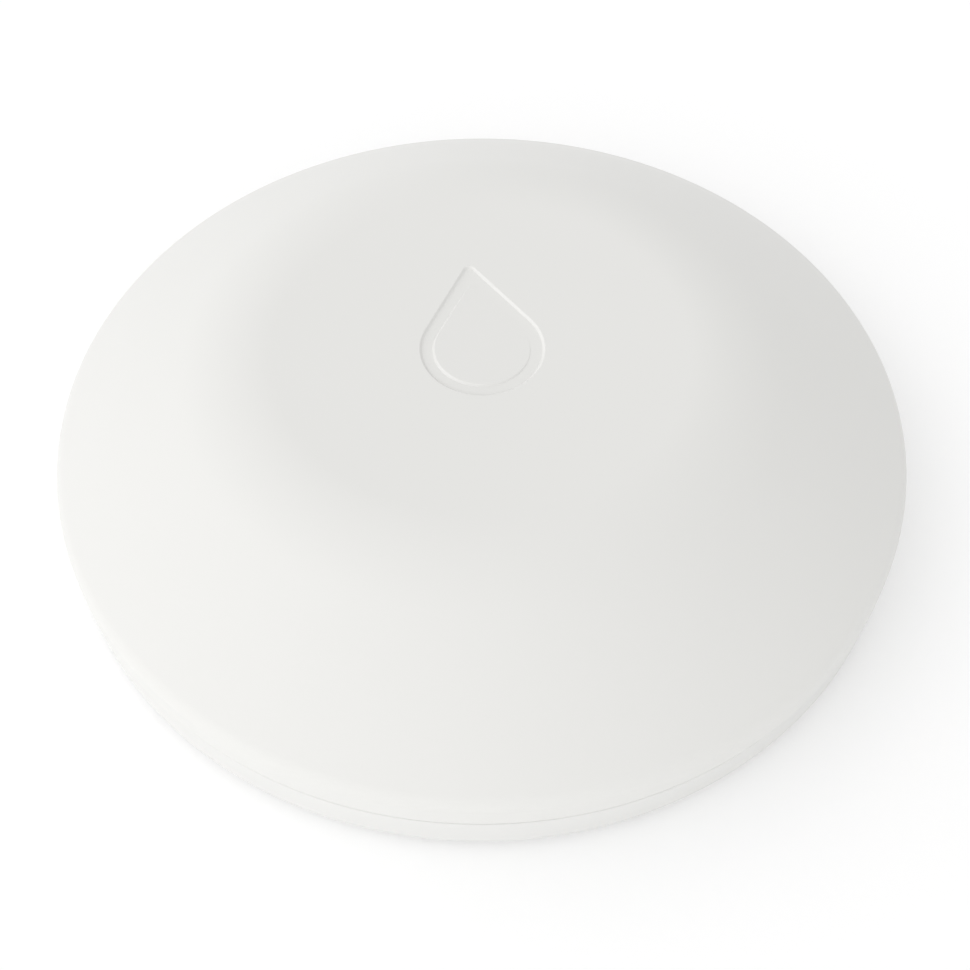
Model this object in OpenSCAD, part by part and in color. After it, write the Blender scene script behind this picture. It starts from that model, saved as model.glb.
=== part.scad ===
// Round water leak sensor: a white puck on three metal feet that sense water on the floor.
// Millimetres. The origin is on the floor under the middle, Z is up and the drop points along +Y.

/* [Cover] */
// Diameter of the cover at its rim
cover_d = 80; // [78:1:92]
// Thickness of the cover's wall
cover_wall = 2; // [1.6:0.1:2.4]
// Radius of the flat top
top_flat_r = 18.8; // [17:0.2:20.6]
// Radius of the soft shoulder round the flat top
shoulder_r = 18.5; // [14:0.5:22]
// Angle through which the shoulder turns down
shoulder_turn = 27; // [24:0.5:30]
// Radius of the slightly bulged skirt
skirt_r = 95; // [80:1:120]
// Rounding of the rim
rim_fillet = 2; // [1:0.1:3]
// Height of the straight wall under the rim's rounding
rim_land = 2; // [1.4:0.1:3]

/* [Drop] */
// Outer radius of the drop's round end
drop_bulb_r = 5.5; // [4.6:0.1:6.4]
// How far the middle of the round end lies in front of the cover's axis
drop_front = 0.55; // [0:0.05:1.5]
// Distance from the middle of the round end to the tip
drop_point = 10.2; // [8.5:0.05:11]
// Outer rounding of the tip
drop_tip_r = 0.5; // [0.3:0.05:0.7]
// Width of the drop's channel
drop_channel_w = 1.1; // [0.8:0.05:1.4]
// Depth of the drop's channel
drop_channel_depth = 0.2; // [0.15:0.05:0.8]

/* [Base] */
// How far the base wall stands in from the rim
base_inset = 0.1; // [0.1:0.1:0.8]
// How far the base wall leans in towards the floor
base_draft = 0.1; // [0.1:0.1:0.8]
// Height of the base wall
base_h = 3.9; // [3.5:0.1:5]
// Thickness of the base's floor
base_floor = 2; // [1.9:0.1:2.4]
// Rounding of the base's lower edge
base_edge = 0.35; // [0.2:0.05:0.8]
// Height of the parting line between base and cover
seam_gap = 0.3; // [0.2:0.05:0.5]
// Width of the gasket in the parting line
gasket_w = 1.1; // [0.8:0.1:1.3]
// Thickness of the inner wall that the cover slips over
spigot_wall = 1.6; // [1.4:0.1:1.8]
// Room over that inner wall
spigot_headroom = 0.4; // [0.3:0.1:0.8]

/* [Fits] */
// Gap round screws, pins and bought parts
fit_clear = 0.05; // [0.03:0.01:0.08]
// Gap round the button and the switch plunger
slide_clear = 0.1; // [0.05:0.01:0.15]
// Gap round the battery door and the inner wall of the base
door_clear = 0.2; // [0.15:0.05:0.3]
// Gap between a seal and the face that it closes
seal_clear = 0.03; // [0.02:0.01:0.05]

/* [Contact feet] */
// Height of a foot under the base
foot_h = 0.8; // [0.6:0.1:1.2]
// Diameter of a foot
foot_d = 6; // [5.2:0.2:7]
// Rounding of a foot's edge
foot_edge = 0.5; // [0.3:0.1:0.6]
// Width of the driver slot in a foot
foot_slot_w = 0.9; // [0.6:0.1:1.2]
// Depth of the driver slot in a foot
foot_slot_depth = 0.4; // [0.3:0.05:0.5]
// Diameter of a foot's threaded shank
foot_shank_d = 2.4; // [2:0.1:2.8]
// Length of the shank that sits in its post
foot_thread = 4; // [3:0.1:5]
// Thickness of the O-ring under a foot
contact_seal_d = 0.9; // [0.7:0.1:1.1]
// Size of a post across its corners
post_d = 5; // [4.6:0.1:5.6]
// Diameter of the pin that solders a post to the board
post_pin_d = 1.6; // [1.2:0.1:2]
// Height of the pad that a post stands on
post_pad_h = 0.8; // [0.6:0.1:1.4]

/* [Cover screws] */
// Diameter of a cover screw's thread
screw_d = 2.2; // [1.8:0.1:2.6]
// Diameter of its head
screw_head_d = 4.4; // [4:0.1:5]
// Height of its head
screw_head_h = 1.3; // [1:0.1:1.6]
// Length of the cross recess in its head
cross_l = 2.6; // [2:0.1:3]
// Width of the cross recess
cross_w = 0.6; // [0.4:0.1:0.8]
// Depth of the cross recess
cross_depth = 0.6; // [0.4:0.05:0.8]
// Depth of the recess for the head
screw_recess = 1.8; // [1.7:0.1:2.4]
// Length of the thread under the head
screw_len = 6.4; // [5:0.1:7]
// Wall round the thread in the cover's boss
boss_wall = 1.5; // [1.2:0.1:1.8]
// Wall round the recess in the base
pillar_wall = 0.9; // [0.7:0.1:1.2]
// Height of a base pillar over the base's floor
pillar_h = 3.2; // [2.4:0.1:3.8]

/* [Battery] */
// Diameter of the coin cell
cell_d = 24.5; // [23:0.1:25.5]
// Height of the coin cell
cell_h = 5; // [4.4:0.1:5.8]
// Diameter of the cell's small face
cell_cap_d = 20.4; // [18:0.1:21]
// Height of the step under the small face
cell_step = 0.5; // [0.3:0.1:0.8]
// Gap round the cell in the door's cup
cell_clear = 0.35; // [0.3:0.05:0.5]
// Height of the minus contact when the cell is in
leaf_h = 1.5; // [1.2:0.1:2]
// Width of the minus contact
leaf_w = 4; // [3:0.1:5]
// Length of the minus contact
leaf_l = 12; // [10:0.5:14]
// Thickness of the contact metal
contact_t = 0.25; // [0.2:0.05:0.3]
// Arc of each plus contact
clip_arc = 40; // [30:1:50]

/* [Battery door] */
// Thickness of the door under the cell
door_plate = 1.5; // [1.4:0.1:1.8]
// Thickness of the door's flange
door_flange = 1.5; // [1.4:0.1:1.8]
// How far the door lies inside the base's underside
door_recess = 0.1; // [0.05:0.05:0.3]
// Wall of the cup that holds the cell
cup_wall = 2; // [1.6:0.1:2.4]
// How far a lug stands out of the cup
lug_reach = 1.4; // [1:0.1:1.8]
// Height of a lug
lug_h = 1.2; // [1:0.1:1.5]
// Arc of a lug
lug_arc = 24; // [18:1:28]
// Thickness of the ledge that the lugs lock on
ledge_t = 1.6; // [1.2:0.1:1.8]
// Turn from locked to open
door_turn = 45; // [36:1:50]
// Arc of a stop rib at each end of a lug's way
stop_arc = 6; // [4:0.5:8]
// Play between a lug and its stop
stop_play = 1; // [0.5:0.1:1.5]
// Thickness of the door's O-ring
door_seal_d = 1; // [0.8:0.1:1.2]
// Flat land on each side of the O-ring
seal_land = 0.8; // [0.6:0.1:1]
// Wall round the door's seat
seat_wall = 2; // [1.6:0.1:2.2]
// Wall of the battery well
well_wall = 1.6; // [1.2:0.1:2]
// Length of the coin slot
slot_l = 22; // [18:0.5:26]
// Width of the coin slot
slot_w = 2.2; // [1.8:0.1:2.6]
// Depth of the coin slot
slot_depth = 0.8; // [0.6:0.1:0.9]
// Diameter of the index dimples
mark_d = 1.2; // [0.8:0.1:1.4]
// Depth of the index dimples
mark_depth = 0.3; // [0.2:0.05:0.4]

/* [Board] */
// Thickness of the circuit board
board_t = 1.2; // [1:0.1:1.6]
// Gap between the board's edge and the cover's bosses
board_gap = 0.8; // [0.5:0.1:1.2]
// Board left outside a post
board_edge = 0.8; // [0.5:0.1:1.2]
// Board kept free on each side of the lamp
lamp_room = 4; // [3:0.5:5]

/* [Radio and supply] */
// Length of the radio module
radio_l = 17; // [15:0.5:18]
// Width of the radio module
radio_w = 12; // [11:0.5:14]
// Thickness of the radio module's board
radio_t = 0.8; // [0.6:0.1:1]
// Height of the tin shield
shield_h = 2; // [1.6:0.1:2.4]
// Wall of the tin shield
shield_wall = 0.25; // [0.2:0.05:0.3]
// Length of the antenna's field at the end of the module
antenna_l = 5; // [4.4:0.1:5.6]
// Width of the antenna's track
track_w = 0.6; // [0.5:0.05:0.7]
// Thickness of the antenna's track
track_t = 0.08; // [0.05:0.01:0.1]
// Turns of the antenna's track
track_turns = 4; // [3:1:5]
// Length of the driver chip
chip_l = 5; // [4.6:0.1:6]
// Width of the driver chip
chip_w = 4; // [3.6:0.1:4.4]
// Height of the driver chip
chip_h = 1.5; // [1.2:0.1:1.8]
// Gap between the chip and the board
chip_lift = 0.1; // [0.05:0.05:0.2]
// Pitch of the chip's leads
lead_pitch = 1.2; // [1.1:0.05:1.3]
// Width of a lead
lead_w = 0.4; // [0.3:0.05:0.5]
// Length of a lead
lead_l = 1; // [0.8:0.1:1.2]
// Leads on each side of the chip
lead_count = 4; // [2:1:4]
// Side of the power coil
coil_w = 6; // [5:0.1:7]
// Height of the power coil
coil_h = 2.8; // [2.2:0.1:3]
// Diameter of the power coil's winding
coil_core_d = 4.2; // [3.6:0.1:4.8]
// Thickness of the power coil's flanges
coil_flange = 0.55; // [0.4:0.05:0.7]
// Length of the storage capacitor
capacitor_l = 7.2; // [6:0.1:7.6]
// Width of the storage capacitor
capacitor_w = 4.3; // [3.6:0.1:4.6]
// Height of the storage capacitor
capacitor_h = 2.6; // [2:0.1:2.8]
// Length of a small chip part
small_l = 2; // [1.6:0.1:2.2]
// Width of a small chip part
small_w = 1.2; // [0.8:0.1:1.3]
// Height of a small chip part
small_h = 0.8; // [0.5:0.1:1]
// Distance between the small chip parts in a row
small_pitch = 2.4; // [1.6:0.1:2.6]
// Small chip parts in a row
small_count = 5; // [3:1:5]
// Distance from the radio module to the middle of a row
small_side = 3; // [2.2:0.1:4]

/* [Lamp] */
// Length of the status lamp
led_l = 2; // [1.6:0.1:2.4]
// Width of the status lamp
led_w = 1.3; // [1:0.1:1.6]
// Height of the status lamp
led_h = 0.7; // [0.5:0.1:1]
// Radius of the light guide's foot
guide_foot_r = 1.8; // [1.5:0.1:2.4]
// Radius of the light guide's head under the drop
guide_head_r = 6; // [5:0.1:6.6]
// Height of the light guide's head
guide_head_h = 1; // [0.8:0.1:1.4]
// Depth of the light guide's pocket in the cover
guide_pocket = 0.5; // [0.3:0.1:0.6]
// Gap between the lamp and the light guide
guide_gap = 0.2; // [0.1:0.05:0.4]

/* [Sounder] */
// Diameter of the buzzer
buzzer_d = 12; // [10:0.2:13]
// Wall of the buzzer's case
buzzer_wall = 0.8; // [0.6:0.1:1]
// Diameter of the buzzer's sound port
buzzer_port_d = 3; // [2:0.1:4]
// Thickness of the buzzer's sounding disc
disc_t = 0.25; // [0.2:0.05:0.4]
// Diameter of the buzzer's pins
pin_d = 0.7; // [0.5:0.05:0.8]
// Distance between the buzzer's pins
pin_pitch = 6.5; // [5:0.1:7]
// Diameter of a sound hole in the base
sound_hole_d = 1.3; // [1:0.1:1.5]
// Distance from the middle sound hole to the others
sound_hole_pitch = 2.6; // [2.2:0.1:3]
// Sound holes round the middle one
sound_hole_count = 6; // [4:1:7]
// Diameter of the watertight membrane
membrane_d = 9.6; // [9:0.1:10.4]
// Thickness of the watertight membrane
membrane_t = 0.25; // [0.2:0.05:0.4]
// Gap between the membrane and the buzzer
sound_gap = 0.3; // [0.2:0.05:0.5]
// Gap between the buzzer and the seat of the battery door
buzzer_gap = 0.6; // [0.4:0.1:1]

/* [Pairing button] */
// Diameter of the button
button_d = 5; // [4.4:0.1:5.6]
// Travel of the button
button_travel = 0.4; // [0.3:0.05:0.5]
// How far the button lies inside the base's underside
button_recess = 0.2; // [0.1:0.1:0.4]
// How far the collar that keeps the button in stands out
button_collar = 0.9; // [0.7:0.1:1.2]
// Height of that collar
button_collar_h = 0.8; // [0.6:0.1:1]
// Thickness of the button's O-ring
button_seal_d = 0.8; // [0.7:0.05:0.9]
// Side of the switch
switch_w = 6; // [5.6:0.1:6.6]
// Height of the switch
switch_h = 3.4; // [3:0.1:3.6]
// Wall of the switch's case
switch_wall = 0.5; // [0.4:0.1:0.7]
// Diameter of the switch's plunger
plunger_d = 3.2; // [2.8:0.1:3.4]
// How far the plunger stands out of the switch
plunger_out = 0.7; // [0.6:0.05:0.8]
// How far the plunger's inner collar stands out
plunger_collar = 0.5; // [0.4:0.1:0.6]
// Height of that inner collar
plunger_collar_h = 0.8; // [0.6:0.1:1]

/* [Hidden] */
$fn = 72;
// Small overlap that makes a cut go through
eps = 0.5;
// How far an arc stands past the lines that it meets, so that they cross and don't just touch
blend = 0.002;

// Heights, from the floor up
base_z = foot_h;
floor_z = base_z + base_floor;
seam_z = base_z + base_h;
rim_z = seam_z + seam_gap;
girth_z = rim_z + rim_land;

// Radii of the base, from the outside in
cover_r = cover_d / 2;
cover_in_r = cover_r - cover_wall;
base_top_r = cover_r - base_inset;
base_low_r = base_top_r - base_draft;
spigot_r = cover_in_r - door_clear;
spigot_in_r = spigot_r - spigot_wall;

// The cover's outline: middles of the shoulder's, the skirt's and the rim's arcs
skirt_x = top_flat_r + (shoulder_r - skirt_r) * sin(shoulder_turn);
rim_x = cover_r - rim_fillet;
skirt_z = girth_z - sqrt(pow(skirt_r - rim_fillet, 2) - pow(rim_x - skirt_x, 2));
top_z = skirt_z + shoulder_r + (skirt_r - shoulder_r) * cos(shoulder_turn);
rim_turn = asin((rim_x - skirt_x) / (skirt_r - rim_fillet));
inner_corner_z = skirt_z + sqrt(pow(skirt_r - cover_wall, 2) - pow(cover_in_r - skirt_x, 2));
spigot_z = inner_corner_z - spigot_headroom;

// Battery door and its seat, from the cell out
cup_r = cell_d / 2 + cell_clear;
plug_r = cup_r + cup_wall;
lug_r = plug_r + lug_reach;
lock_r = lug_r + door_clear;
door_seal_r = lock_r + seal_land + door_seal_d / 2;
flange_r = door_seal_r + door_seal_d / 2 + seal_land;
seat_r = flange_r + door_clear;
seat_out_r = seat_r + seat_wall;
door_z = base_z + door_recess;
cup_z = door_z + door_plate;
flange_z = door_z + door_flange;
seat_z = flange_z + door_clear;
ledge_z = seat_z + ledge_t;
lug_z = ledge_z + slide_clear;
plug_z = lug_z + lug_h + slide_clear;
door_groove_depth = door_seal_d - door_clear + seal_clear;
lug_count = 3;
lug_start = 90;

// Board and what hangs under it
cell_z = cup_z + slide_clear;
board_z = cell_z + cell_h + leaf_h;
board_top = board_z + board_t;
well_z = board_z - door_clear;

// Screw, foot, button and buzzer circles
boss_r = screw_d / 2 + boss_wall;
head_r = screw_head_d / 2 + slide_clear;
pillar_r = head_r + pillar_wall;
pillar_z = floor_z + pillar_h;
screw_seat_z = base_z + screw_recess;
screw_circle_r = spigot_in_r - boss_r - 2 * door_clear;
board_r = screw_circle_r - boss_r - board_gap;
foot_circle_r = board_r - post_d / 2 - board_edge;
post_z = floor_z + post_pad_h;
set_count = 3;
foot_start = 90;
screw_start = 30;
contact_seal_r = foot_shank_d / 2 + contact_seal_d / 2 + fit_clear;
buzzer_circle_r = seat_out_r + buzzer_d / 2 + buzzer_gap;
membrane_z = floor_z + membrane_t;
buzzer_z = membrane_z + sound_gap;

// Button and switch
button_z = base_z + button_recess;
button_hole_r = button_d / 2 + slide_clear;
button_seal_r = button_hole_r - seal_clear - button_seal_d / 2;
button_groove_z = (base_z + floor_z) / 2;
switch_z = board_z - switch_h;
plunger_z = switch_z - plunger_out;
plunger_collar_z = switch_z + switch_wall + slide_clear;

// Light guide
led_z = board_top + led_h;
guide_top = top_z - cover_wall + guide_pocket;

// Places on the board: the radio at the near side, the supply parts at the far side
radio_y = -lamp_room - radio_l / 2;
supply_y = 13;
coil_x = 11;
chip_x = -11;

// Children at equal steps round the axis
module around(count, radius, start) {
    for (i = [0:count - 1])
        rotate([0, 0, start + 360 / count * i]) translate([radius, 0, 0]) children();
}

// Part of a ring between two angles
module ring_sector(r1, r2, z1, z2, from, arc) {
    rotate([0, 0, from]) rotate_extrude(angle = arc)
        translate([r1, z1]) square([r2 - r1, z2 - z1]);
}

// O-ring of a given middle radius, thickness and middle height
module o_ring(radius, thickness, z) {
    rotate_extrude() translate([radius, z]) circle(d = thickness);
}

// Waste outside an arc between two angles, which are counted clockwise from straight up
module corner_waste(middle, radius, from, to) {
    far = 3 * radius;
    half = (from + to) / 2;
    translate(middle) difference() {
        polygon([[0, 0], far * [sin(from), cos(from)], 2 * far * [sin(half), cos(half)], far * [sin(to), cos(to)]]);
        circle(radius + blend, $fn = 360);
    }
}

// Half section under the cover's outline, moved in by a wall
module cover_section(inset, low_z) {
    difference() {
        intersection() {
            translate([0, low_z]) square([cover_r - inset, top_z - inset - low_z]);
            translate([skirt_x, skirt_z]) circle(skirt_r - inset, $fn = 720);
        }
        corner_waste([top_flat_r, top_z - shoulder_r], shoulder_r - inset, 0, shoulder_turn);
        if (rim_fillet > inset) corner_waste([rim_x, girth_z], rim_fillet - inset, rim_turn, 90);
    }
}

// Solid drop outline with a round end and a small round tip
module drop_outer() {
    reach = drop_point - drop_tip_r;
    lean = asin((drop_bulb_r - drop_tip_r) / reach);
    side = [cos(lean), sin(lean)];
    a = (drop_bulb_r - blend) * side;
    b = [0, reach] + (drop_tip_r - blend) * side;
    circle(drop_bulb_r);
    translate([0, reach]) circle(drop_tip_r);
    polygon([a, b, [0, reach], [-b[0], b[1]], [-a[0], a[1]], [0, 0]]);
}

// The island inside the drop's channel
module drop_inner() {
    bulb = drop_bulb_r - drop_channel_w;
    lean = asin((drop_bulb_r - drop_tip_r) / (drop_point - drop_tip_r));
    flank = bulb - blend;
    a = flank * [cos(lean), sin(lean)];
    circle(bulb);
    polygon([a, [0, flank / sin(lean)], [-a[0], a[1]], [0, 0]]);
}

module top_cover() {
    color([0.93, 0.93, 0.92]) difference() {
        union() {
            difference() {
                rotate_extrude() cover_section(0, rim_z);
                rotate_extrude() cover_section(cover_wall, rim_z - eps);
            }
            // Bosses for the cover screws grow out of the skirt's inside
            intersection() {
                around(set_count, screw_circle_r, screw_start)
                    translate([0, 0, pillar_z]) cylinder(r = boss_r, h = top_z);
                rotate_extrude() cover_section(cover_wall / 2, rim_z);
            }
        }
        around(set_count, screw_circle_r, screw_start)
            translate([0, 0, pillar_z - eps])
                cylinder(d = screw_d + 2 * fit_clear, h = screw_seat_z + screw_len + eps - pillar_z + eps);
        // Channel of the drop
        translate([0, -drop_front, top_z - drop_channel_depth]) linear_extrude(drop_channel_depth + eps)
            difference() {
                drop_outer();
                drop_inner();
            }
        // Pocket for the light guide
        translate([0, 0, guide_top - guide_pocket - eps])
            cylinder(r = guide_head_r + fit_clear, h = guide_pocket + eps);
    }
}

// Half section of the base: floor, leaning outer wall and the inner wall that the cover slips over
module base_section() {
    lean = atan2(base_draft, base_h);
    edge_x = base_low_r + base_edge * (1 - sin(lean)) * tan(lean) - base_edge * cos(lean);
    difference() {
        polygon([
            [0, base_z], [base_low_r, base_z], [base_top_r, seam_z], [spigot_r, seam_z],
            [spigot_r, spigot_z], [spigot_in_r, spigot_z], [spigot_in_r, floor_z], [0, floor_z]
        ]);
        corner_waste([edge_x, base_z + base_edge], base_edge, 90 + lean, 180);
    }
}

module base_shell() {
    open_at = lug_start - door_turn;
    notch_arc = lug_arc + stop_play;
    stop_gap = lug_arc / 2 + stop_play;
    color([0.91, 0.91, 0.9]) difference() {
        union() {
            rotate_extrude() base_section();
            translate([0, 0, base_z]) cylinder(r = seat_out_r, h = ledge_z - base_z);
            translate([0, 0, floor_z - eps]) cylinder(r = lock_r + well_wall, h = well_z - floor_z + eps);
            around(set_count, screw_circle_r, screw_start)
                translate([0, 0, base_z]) cylinder(r = pillar_r, h = pillar_z - base_z);
            around(set_count, foot_circle_r, foot_start)
                translate([0, 0, base_z]) cylinder(d = foot_d, h = post_z - base_z);
        }
        // Seat, bore and lock room of the battery door
        translate([0, 0, base_z - eps]) cylinder(r = seat_r, h = seat_z - base_z + eps);
        translate([0, 0, base_z]) cylinder(r = plug_r + door_clear, h = well_z);
        difference() {
            translate([0, 0, ledge_z]) cylinder(r = lock_r, h = well_z);
            // Stop ribs stay on the ledge, past each end of the lugs' way
            for (i = [0:lug_count - 1], from = [lug_start + stop_gap, open_at - stop_gap - stop_arc])
                ring_sector(plug_r, lock_r + eps, ledge_z - eps, plug_z, from + 360 / lug_count * i, stop_arc);
        }
        // Notches through which the lugs come in
        for (i = [0:lug_count - 1])
            ring_sector(plug_r, lug_r + door_clear / 2, seat_z - eps, ledge_z + eps,
                open_at - notch_arc / 2 + 360 / lug_count * i, notch_arc);
        // Screw holes and the recesses of their heads
        around(set_count, screw_circle_r, screw_start) {
            translate([0, 0, base_z - eps]) cylinder(r = head_r, h = screw_recess + eps);
            translate([0, 0, base_z]) cylinder(d = screw_d + 2 * fit_clear, h = top_z);
        }
        // Holes of the feet, with the seats of their O-rings
        around(set_count, foot_circle_r, foot_start) {
            translate([0, 0, base_z - eps]) cylinder(d = foot_shank_d + 2 * fit_clear, h = top_z);
            translate([0, 0, base_z - eps])
                cylinder(r = contact_seal_r + contact_seal_d / 2 + fit_clear, h = contact_seal_d + seal_clear + eps);
        }
        // Guide of the button
        translate([foot_circle_r, 0, base_z - eps]) cylinder(r = button_hole_r, h = base_floor + 2 * eps);
        // Sound holes
        translate([-buzzer_circle_r, 0, base_z - eps]) {
            cylinder(d = sound_hole_d, h = base_floor + 2 * eps);
            around(sound_hole_count, sound_hole_pitch, 0) cylinder(d = sound_hole_d, h = base_floor + 2 * eps);
        }
        // Index dimples for the locked and the open place of the door
        for (angle = [lug_start, open_at])
            rotate([0, 0, angle]) translate([seat_r + seat_wall / 2, 0, base_z - eps])
                cylinder(d = mark_d, h = mark_depth + eps);
    }
}

module cover_gasket() {
    color([0.35, 0.35, 0.36]) rotate_extrude()
        translate([spigot_r + door_clear / 2, seam_z]) square([gasket_w, seam_gap]);
}

module cover_screws() {
    color([0.6, 0.6, 0.62]) around(set_count, screw_circle_r, screw_start) difference() {
        union() {
            translate([0, 0, screw_seat_z - screw_head_h]) cylinder(d = screw_head_d, h = screw_head_h);
            translate([0, 0, screw_seat_z - eps]) cylinder(d = screw_d, h = screw_len + eps);
        }
        // Cross recess
        for (angle = [45, 135])
            translate([0, 0, screw_seat_z - screw_head_h]) rotate([0, 0, angle])
                cube([cross_l, cross_w, 2 * cross_depth], center = true);
    }
}

module contact_feet() {
    foot_r = foot_d / 2;
    color([0.75, 0.75, 0.77]) around(set_count, foot_circle_r, foot_start) difference() {
        union() {
            rotate_extrude() difference() {
                square([foot_r, foot_h]);
                corner_waste([foot_r - foot_edge, foot_edge], foot_edge, 90, 180);
            }
            translate([0, 0, foot_h / 2]) cylinder(d = foot_shank_d, h = post_z + foot_thread - foot_h / 2);
        }
        // Driver slot
        cube([foot_d + eps, foot_slot_w, 2 * foot_slot_depth], center = true);
    }
}

module contact_seals() {
    color([0.15, 0.15, 0.16]) around(set_count, foot_circle_r, foot_start)
        o_ring(contact_seal_r, contact_seal_d, base_z + contact_seal_d / 2);
}

module contact_posts() {
    color([0.8, 0.65, 0.3]) around(set_count, foot_circle_r, foot_start) difference() {
        union() {
            translate([0, 0, post_z]) cylinder(d = post_d, h = board_z - post_z, $fn = 6);
            translate([0, 0, board_z - eps]) cylinder(d = post_pin_d, h = board_t + 2 * eps);
        }
        translate([0, 0, post_z - eps])
            cylinder(d = foot_shank_d + 2 * fit_clear, h = foot_thread + slide_clear + eps);
    }
}

module battery_door() {
    color([0.9, 0.9, 0.89]) difference() {
        union() {
            rotate_extrude() polygon([
                [0, door_z], [flange_r, door_z], [flange_r, flange_z], [plug_r, flange_z],
                [plug_r, plug_z], [cup_r, plug_z], [cup_r, cup_z], [0, cup_z]
            ]);
            for (i = [0:lug_count - 1])
                ring_sector(plug_r - cup_wall / 2, lug_r, lug_z, lug_z + lug_h,
                    lug_start - lug_arc / 2 + 360 / lug_count * i, lug_arc);
        }
        // Groove of the O-ring
        rotate_extrude() translate([door_seal_r - door_seal_d / 2 - fit_clear, flange_z - door_groove_depth])
            square([door_seal_d + 2 * fit_clear, door_groove_depth + eps]);
        // Coin slot
        translate([0, 0, door_z]) cube([slot_l, slot_w, 2 * slot_depth], center = true);
        // Index dimple
        rotate([0, 0, lug_start]) translate([plug_r, 0, door_z - eps]) cylinder(d = mark_d, h = mark_depth + eps);
    }
}

module door_seal() {
    color([0.15, 0.15, 0.16])
        o_ring(door_seal_r, door_seal_d, flange_z - door_groove_depth + door_seal_d / 2);
}

module battery_cell() {
    can_r = cell_d / 2;
    cap_r = cell_cap_d / 2;
    color([0.78, 0.78, 0.8]) translate([0, 0, cell_z]) rotate_extrude() difference() {
        polygon([
            [0, 0], [can_r, 0], [can_r, cell_h - 2 * cell_step], [can_r - cell_step, cell_h - cell_step],
            [cap_r, cell_h - cell_step], [cap_r, cell_h], [0, cell_h]
        ]);
        corner_waste([can_r - cell_step, cell_step], cell_step, 90, 180);
    }
}

module battery_clip() {
    low_z = plug_z + 2 * door_clear;
    color([0.82, 0.7, 0.4]) for (side = [0, 180]) {
        ring_sector(cell_d / 2 + fit_clear, cell_d / 2 + fit_clear + contact_t, low_z, board_z - contact_t / 2,
            side - clip_arc / 2, clip_arc);
        ring_sector(cell_d / 2 + fit_clear + contact_t / 2, plug_r, board_z - contact_t, board_z,
            side - clip_arc / 4, clip_arc / 2);
    }
}

module battery_leaf() {
    pad = leaf_l / 4;
    half = leaf_l / 2;
    low = cell_z + cell_h;
    path = [
        [-half, board_z - contact_t], [pad - half, board_z - contact_t],
        [-pad / 4, low], [pad / 2, low], [half, low + leaf_h / 2]
    ];
    back = [for (i = [len(path) - 1:-1:0]) path[i] + [0, contact_t]];
    color([0.82, 0.7, 0.4]) rotate([90, 0, 0]) translate([0, 0, -leaf_w / 2])
        linear_extrude(leaf_w) polygon(concat(path, back));
}

module circuit_board() {
    color([0.1, 0.35, 0.2]) difference() {
        translate([0, 0, board_z]) cylinder(r = board_r, h = board_t);
        around(set_count, foot_circle_r, foot_start)
            translate([0, 0, board_z - eps]) cylinder(d = post_pin_d + 2 * fit_clear, h = board_t + 2 * eps);
        for (side = [-1, 1])
            translate([-buzzer_circle_r, side * pin_pitch / 2, board_z - eps])
                cylinder(d = pin_d + 2 * fit_clear, h = board_t + 2 * eps);
    }
}

module radio_board() {
    color([0.12, 0.3, 0.45]) translate([0, radio_y, board_top + radio_t / 2])
        cube([radio_w, radio_l, radio_t], center = true);
}

module radio_shield() {
    length = radio_l - antenna_l - 2 * shield_wall;
    width = radio_w - 4 * shield_wall;
    color([0.72, 0.72, 0.74])
        translate([0, radio_y + antenna_l / 2, board_top + radio_t]) difference() {
            translate([-width / 2, -length / 2, 0]) cube([width, length, shield_h]);
            translate([shield_wall - width / 2, shield_wall - length / 2, -eps])
                cube([width - 2 * shield_wall, length - 2 * shield_wall, shield_h - shield_wall + eps]);
        }
}

module radio_antenna() {
    low_y = radio_y - radio_l / 2 + track_w;
    high_y = low_y + antenna_l - 3 * track_w;
    step = (radio_w - 4 * track_w) / (2 * track_turns);
    color([0.8, 0.5, 0.3]) translate([-step * track_turns, 0, board_top + radio_t])
        for (i = [0:2 * track_turns]) {
            translate([step * i - track_w / 2, low_y, 0]) cube([track_w, high_y - low_y, track_t]);
            if (i < 2 * track_turns)
                translate([step * i - track_w / 2, i % 2 == 0 ? high_y - track_w : low_y, 0])
                    cube([step + track_w, track_w, track_t]);
        }
}

module driver_chip() {
    color([0.1, 0.1, 0.11]) translate([chip_x, supply_y - capacitor_w, board_top + chip_lift])
        translate([-chip_l / 2, -chip_w / 2, 0]) cube([chip_l, chip_w, chip_h - chip_lift]);
}

module chip_leads() {
    color([0.75, 0.75, 0.77]) translate([chip_x, supply_y - capacitor_w, board_top])
        for (side = [-1, 1], i = [0:lead_count - 1])
            translate([(i - (lead_count - 1) / 2) * lead_pitch, side * (chip_w / 2 + lead_l / 2), 0]) {
                translate([-lead_w / 2, -lead_l / 2, 0]) cube([lead_w, lead_l, contact_t]);
                translate([-lead_w / 2, side > 0 ? -lead_l / 2 : lead_l / 2 - contact_t, 0])
                    cube([lead_w, contact_t, chip_h / 2]);
            }
}

module power_coil() {
    color([0.22, 0.22, 0.23]) translate([coil_x, supply_y - capacitor_w, board_top]) {
        translate([-coil_w / 2, -coil_w / 2, 0]) cube([coil_w, coil_w, coil_flange]);
        translate([0, 0, coil_flange / 2]) cylinder(d = coil_core_d, h = coil_h - coil_flange);
        translate([-coil_w / 2, -coil_w / 2, coil_h - coil_flange]) cube([coil_w, coil_w, coil_flange]);
    }
}

module storage_capacitor() {
    color([0.85, 0.6, 0.2]) translate([0, supply_y + capacitor_w, board_top])
        translate([-capacitor_l / 2, -capacitor_w / 2, 0]) cube([capacitor_l, capacitor_w, capacitor_h]);
}

module chip_parts() {
    color([0.6, 0.5, 0.38]) for (side = [-1, 1], i = [0:small_count - 1])
        translate([side * (radio_w / 2 + small_side), -lamp_room - small_l - i * small_pitch, board_top])
            translate([-small_l / 2, -small_w / 2, 0]) cube([small_l, small_w, small_h]);
}

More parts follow.
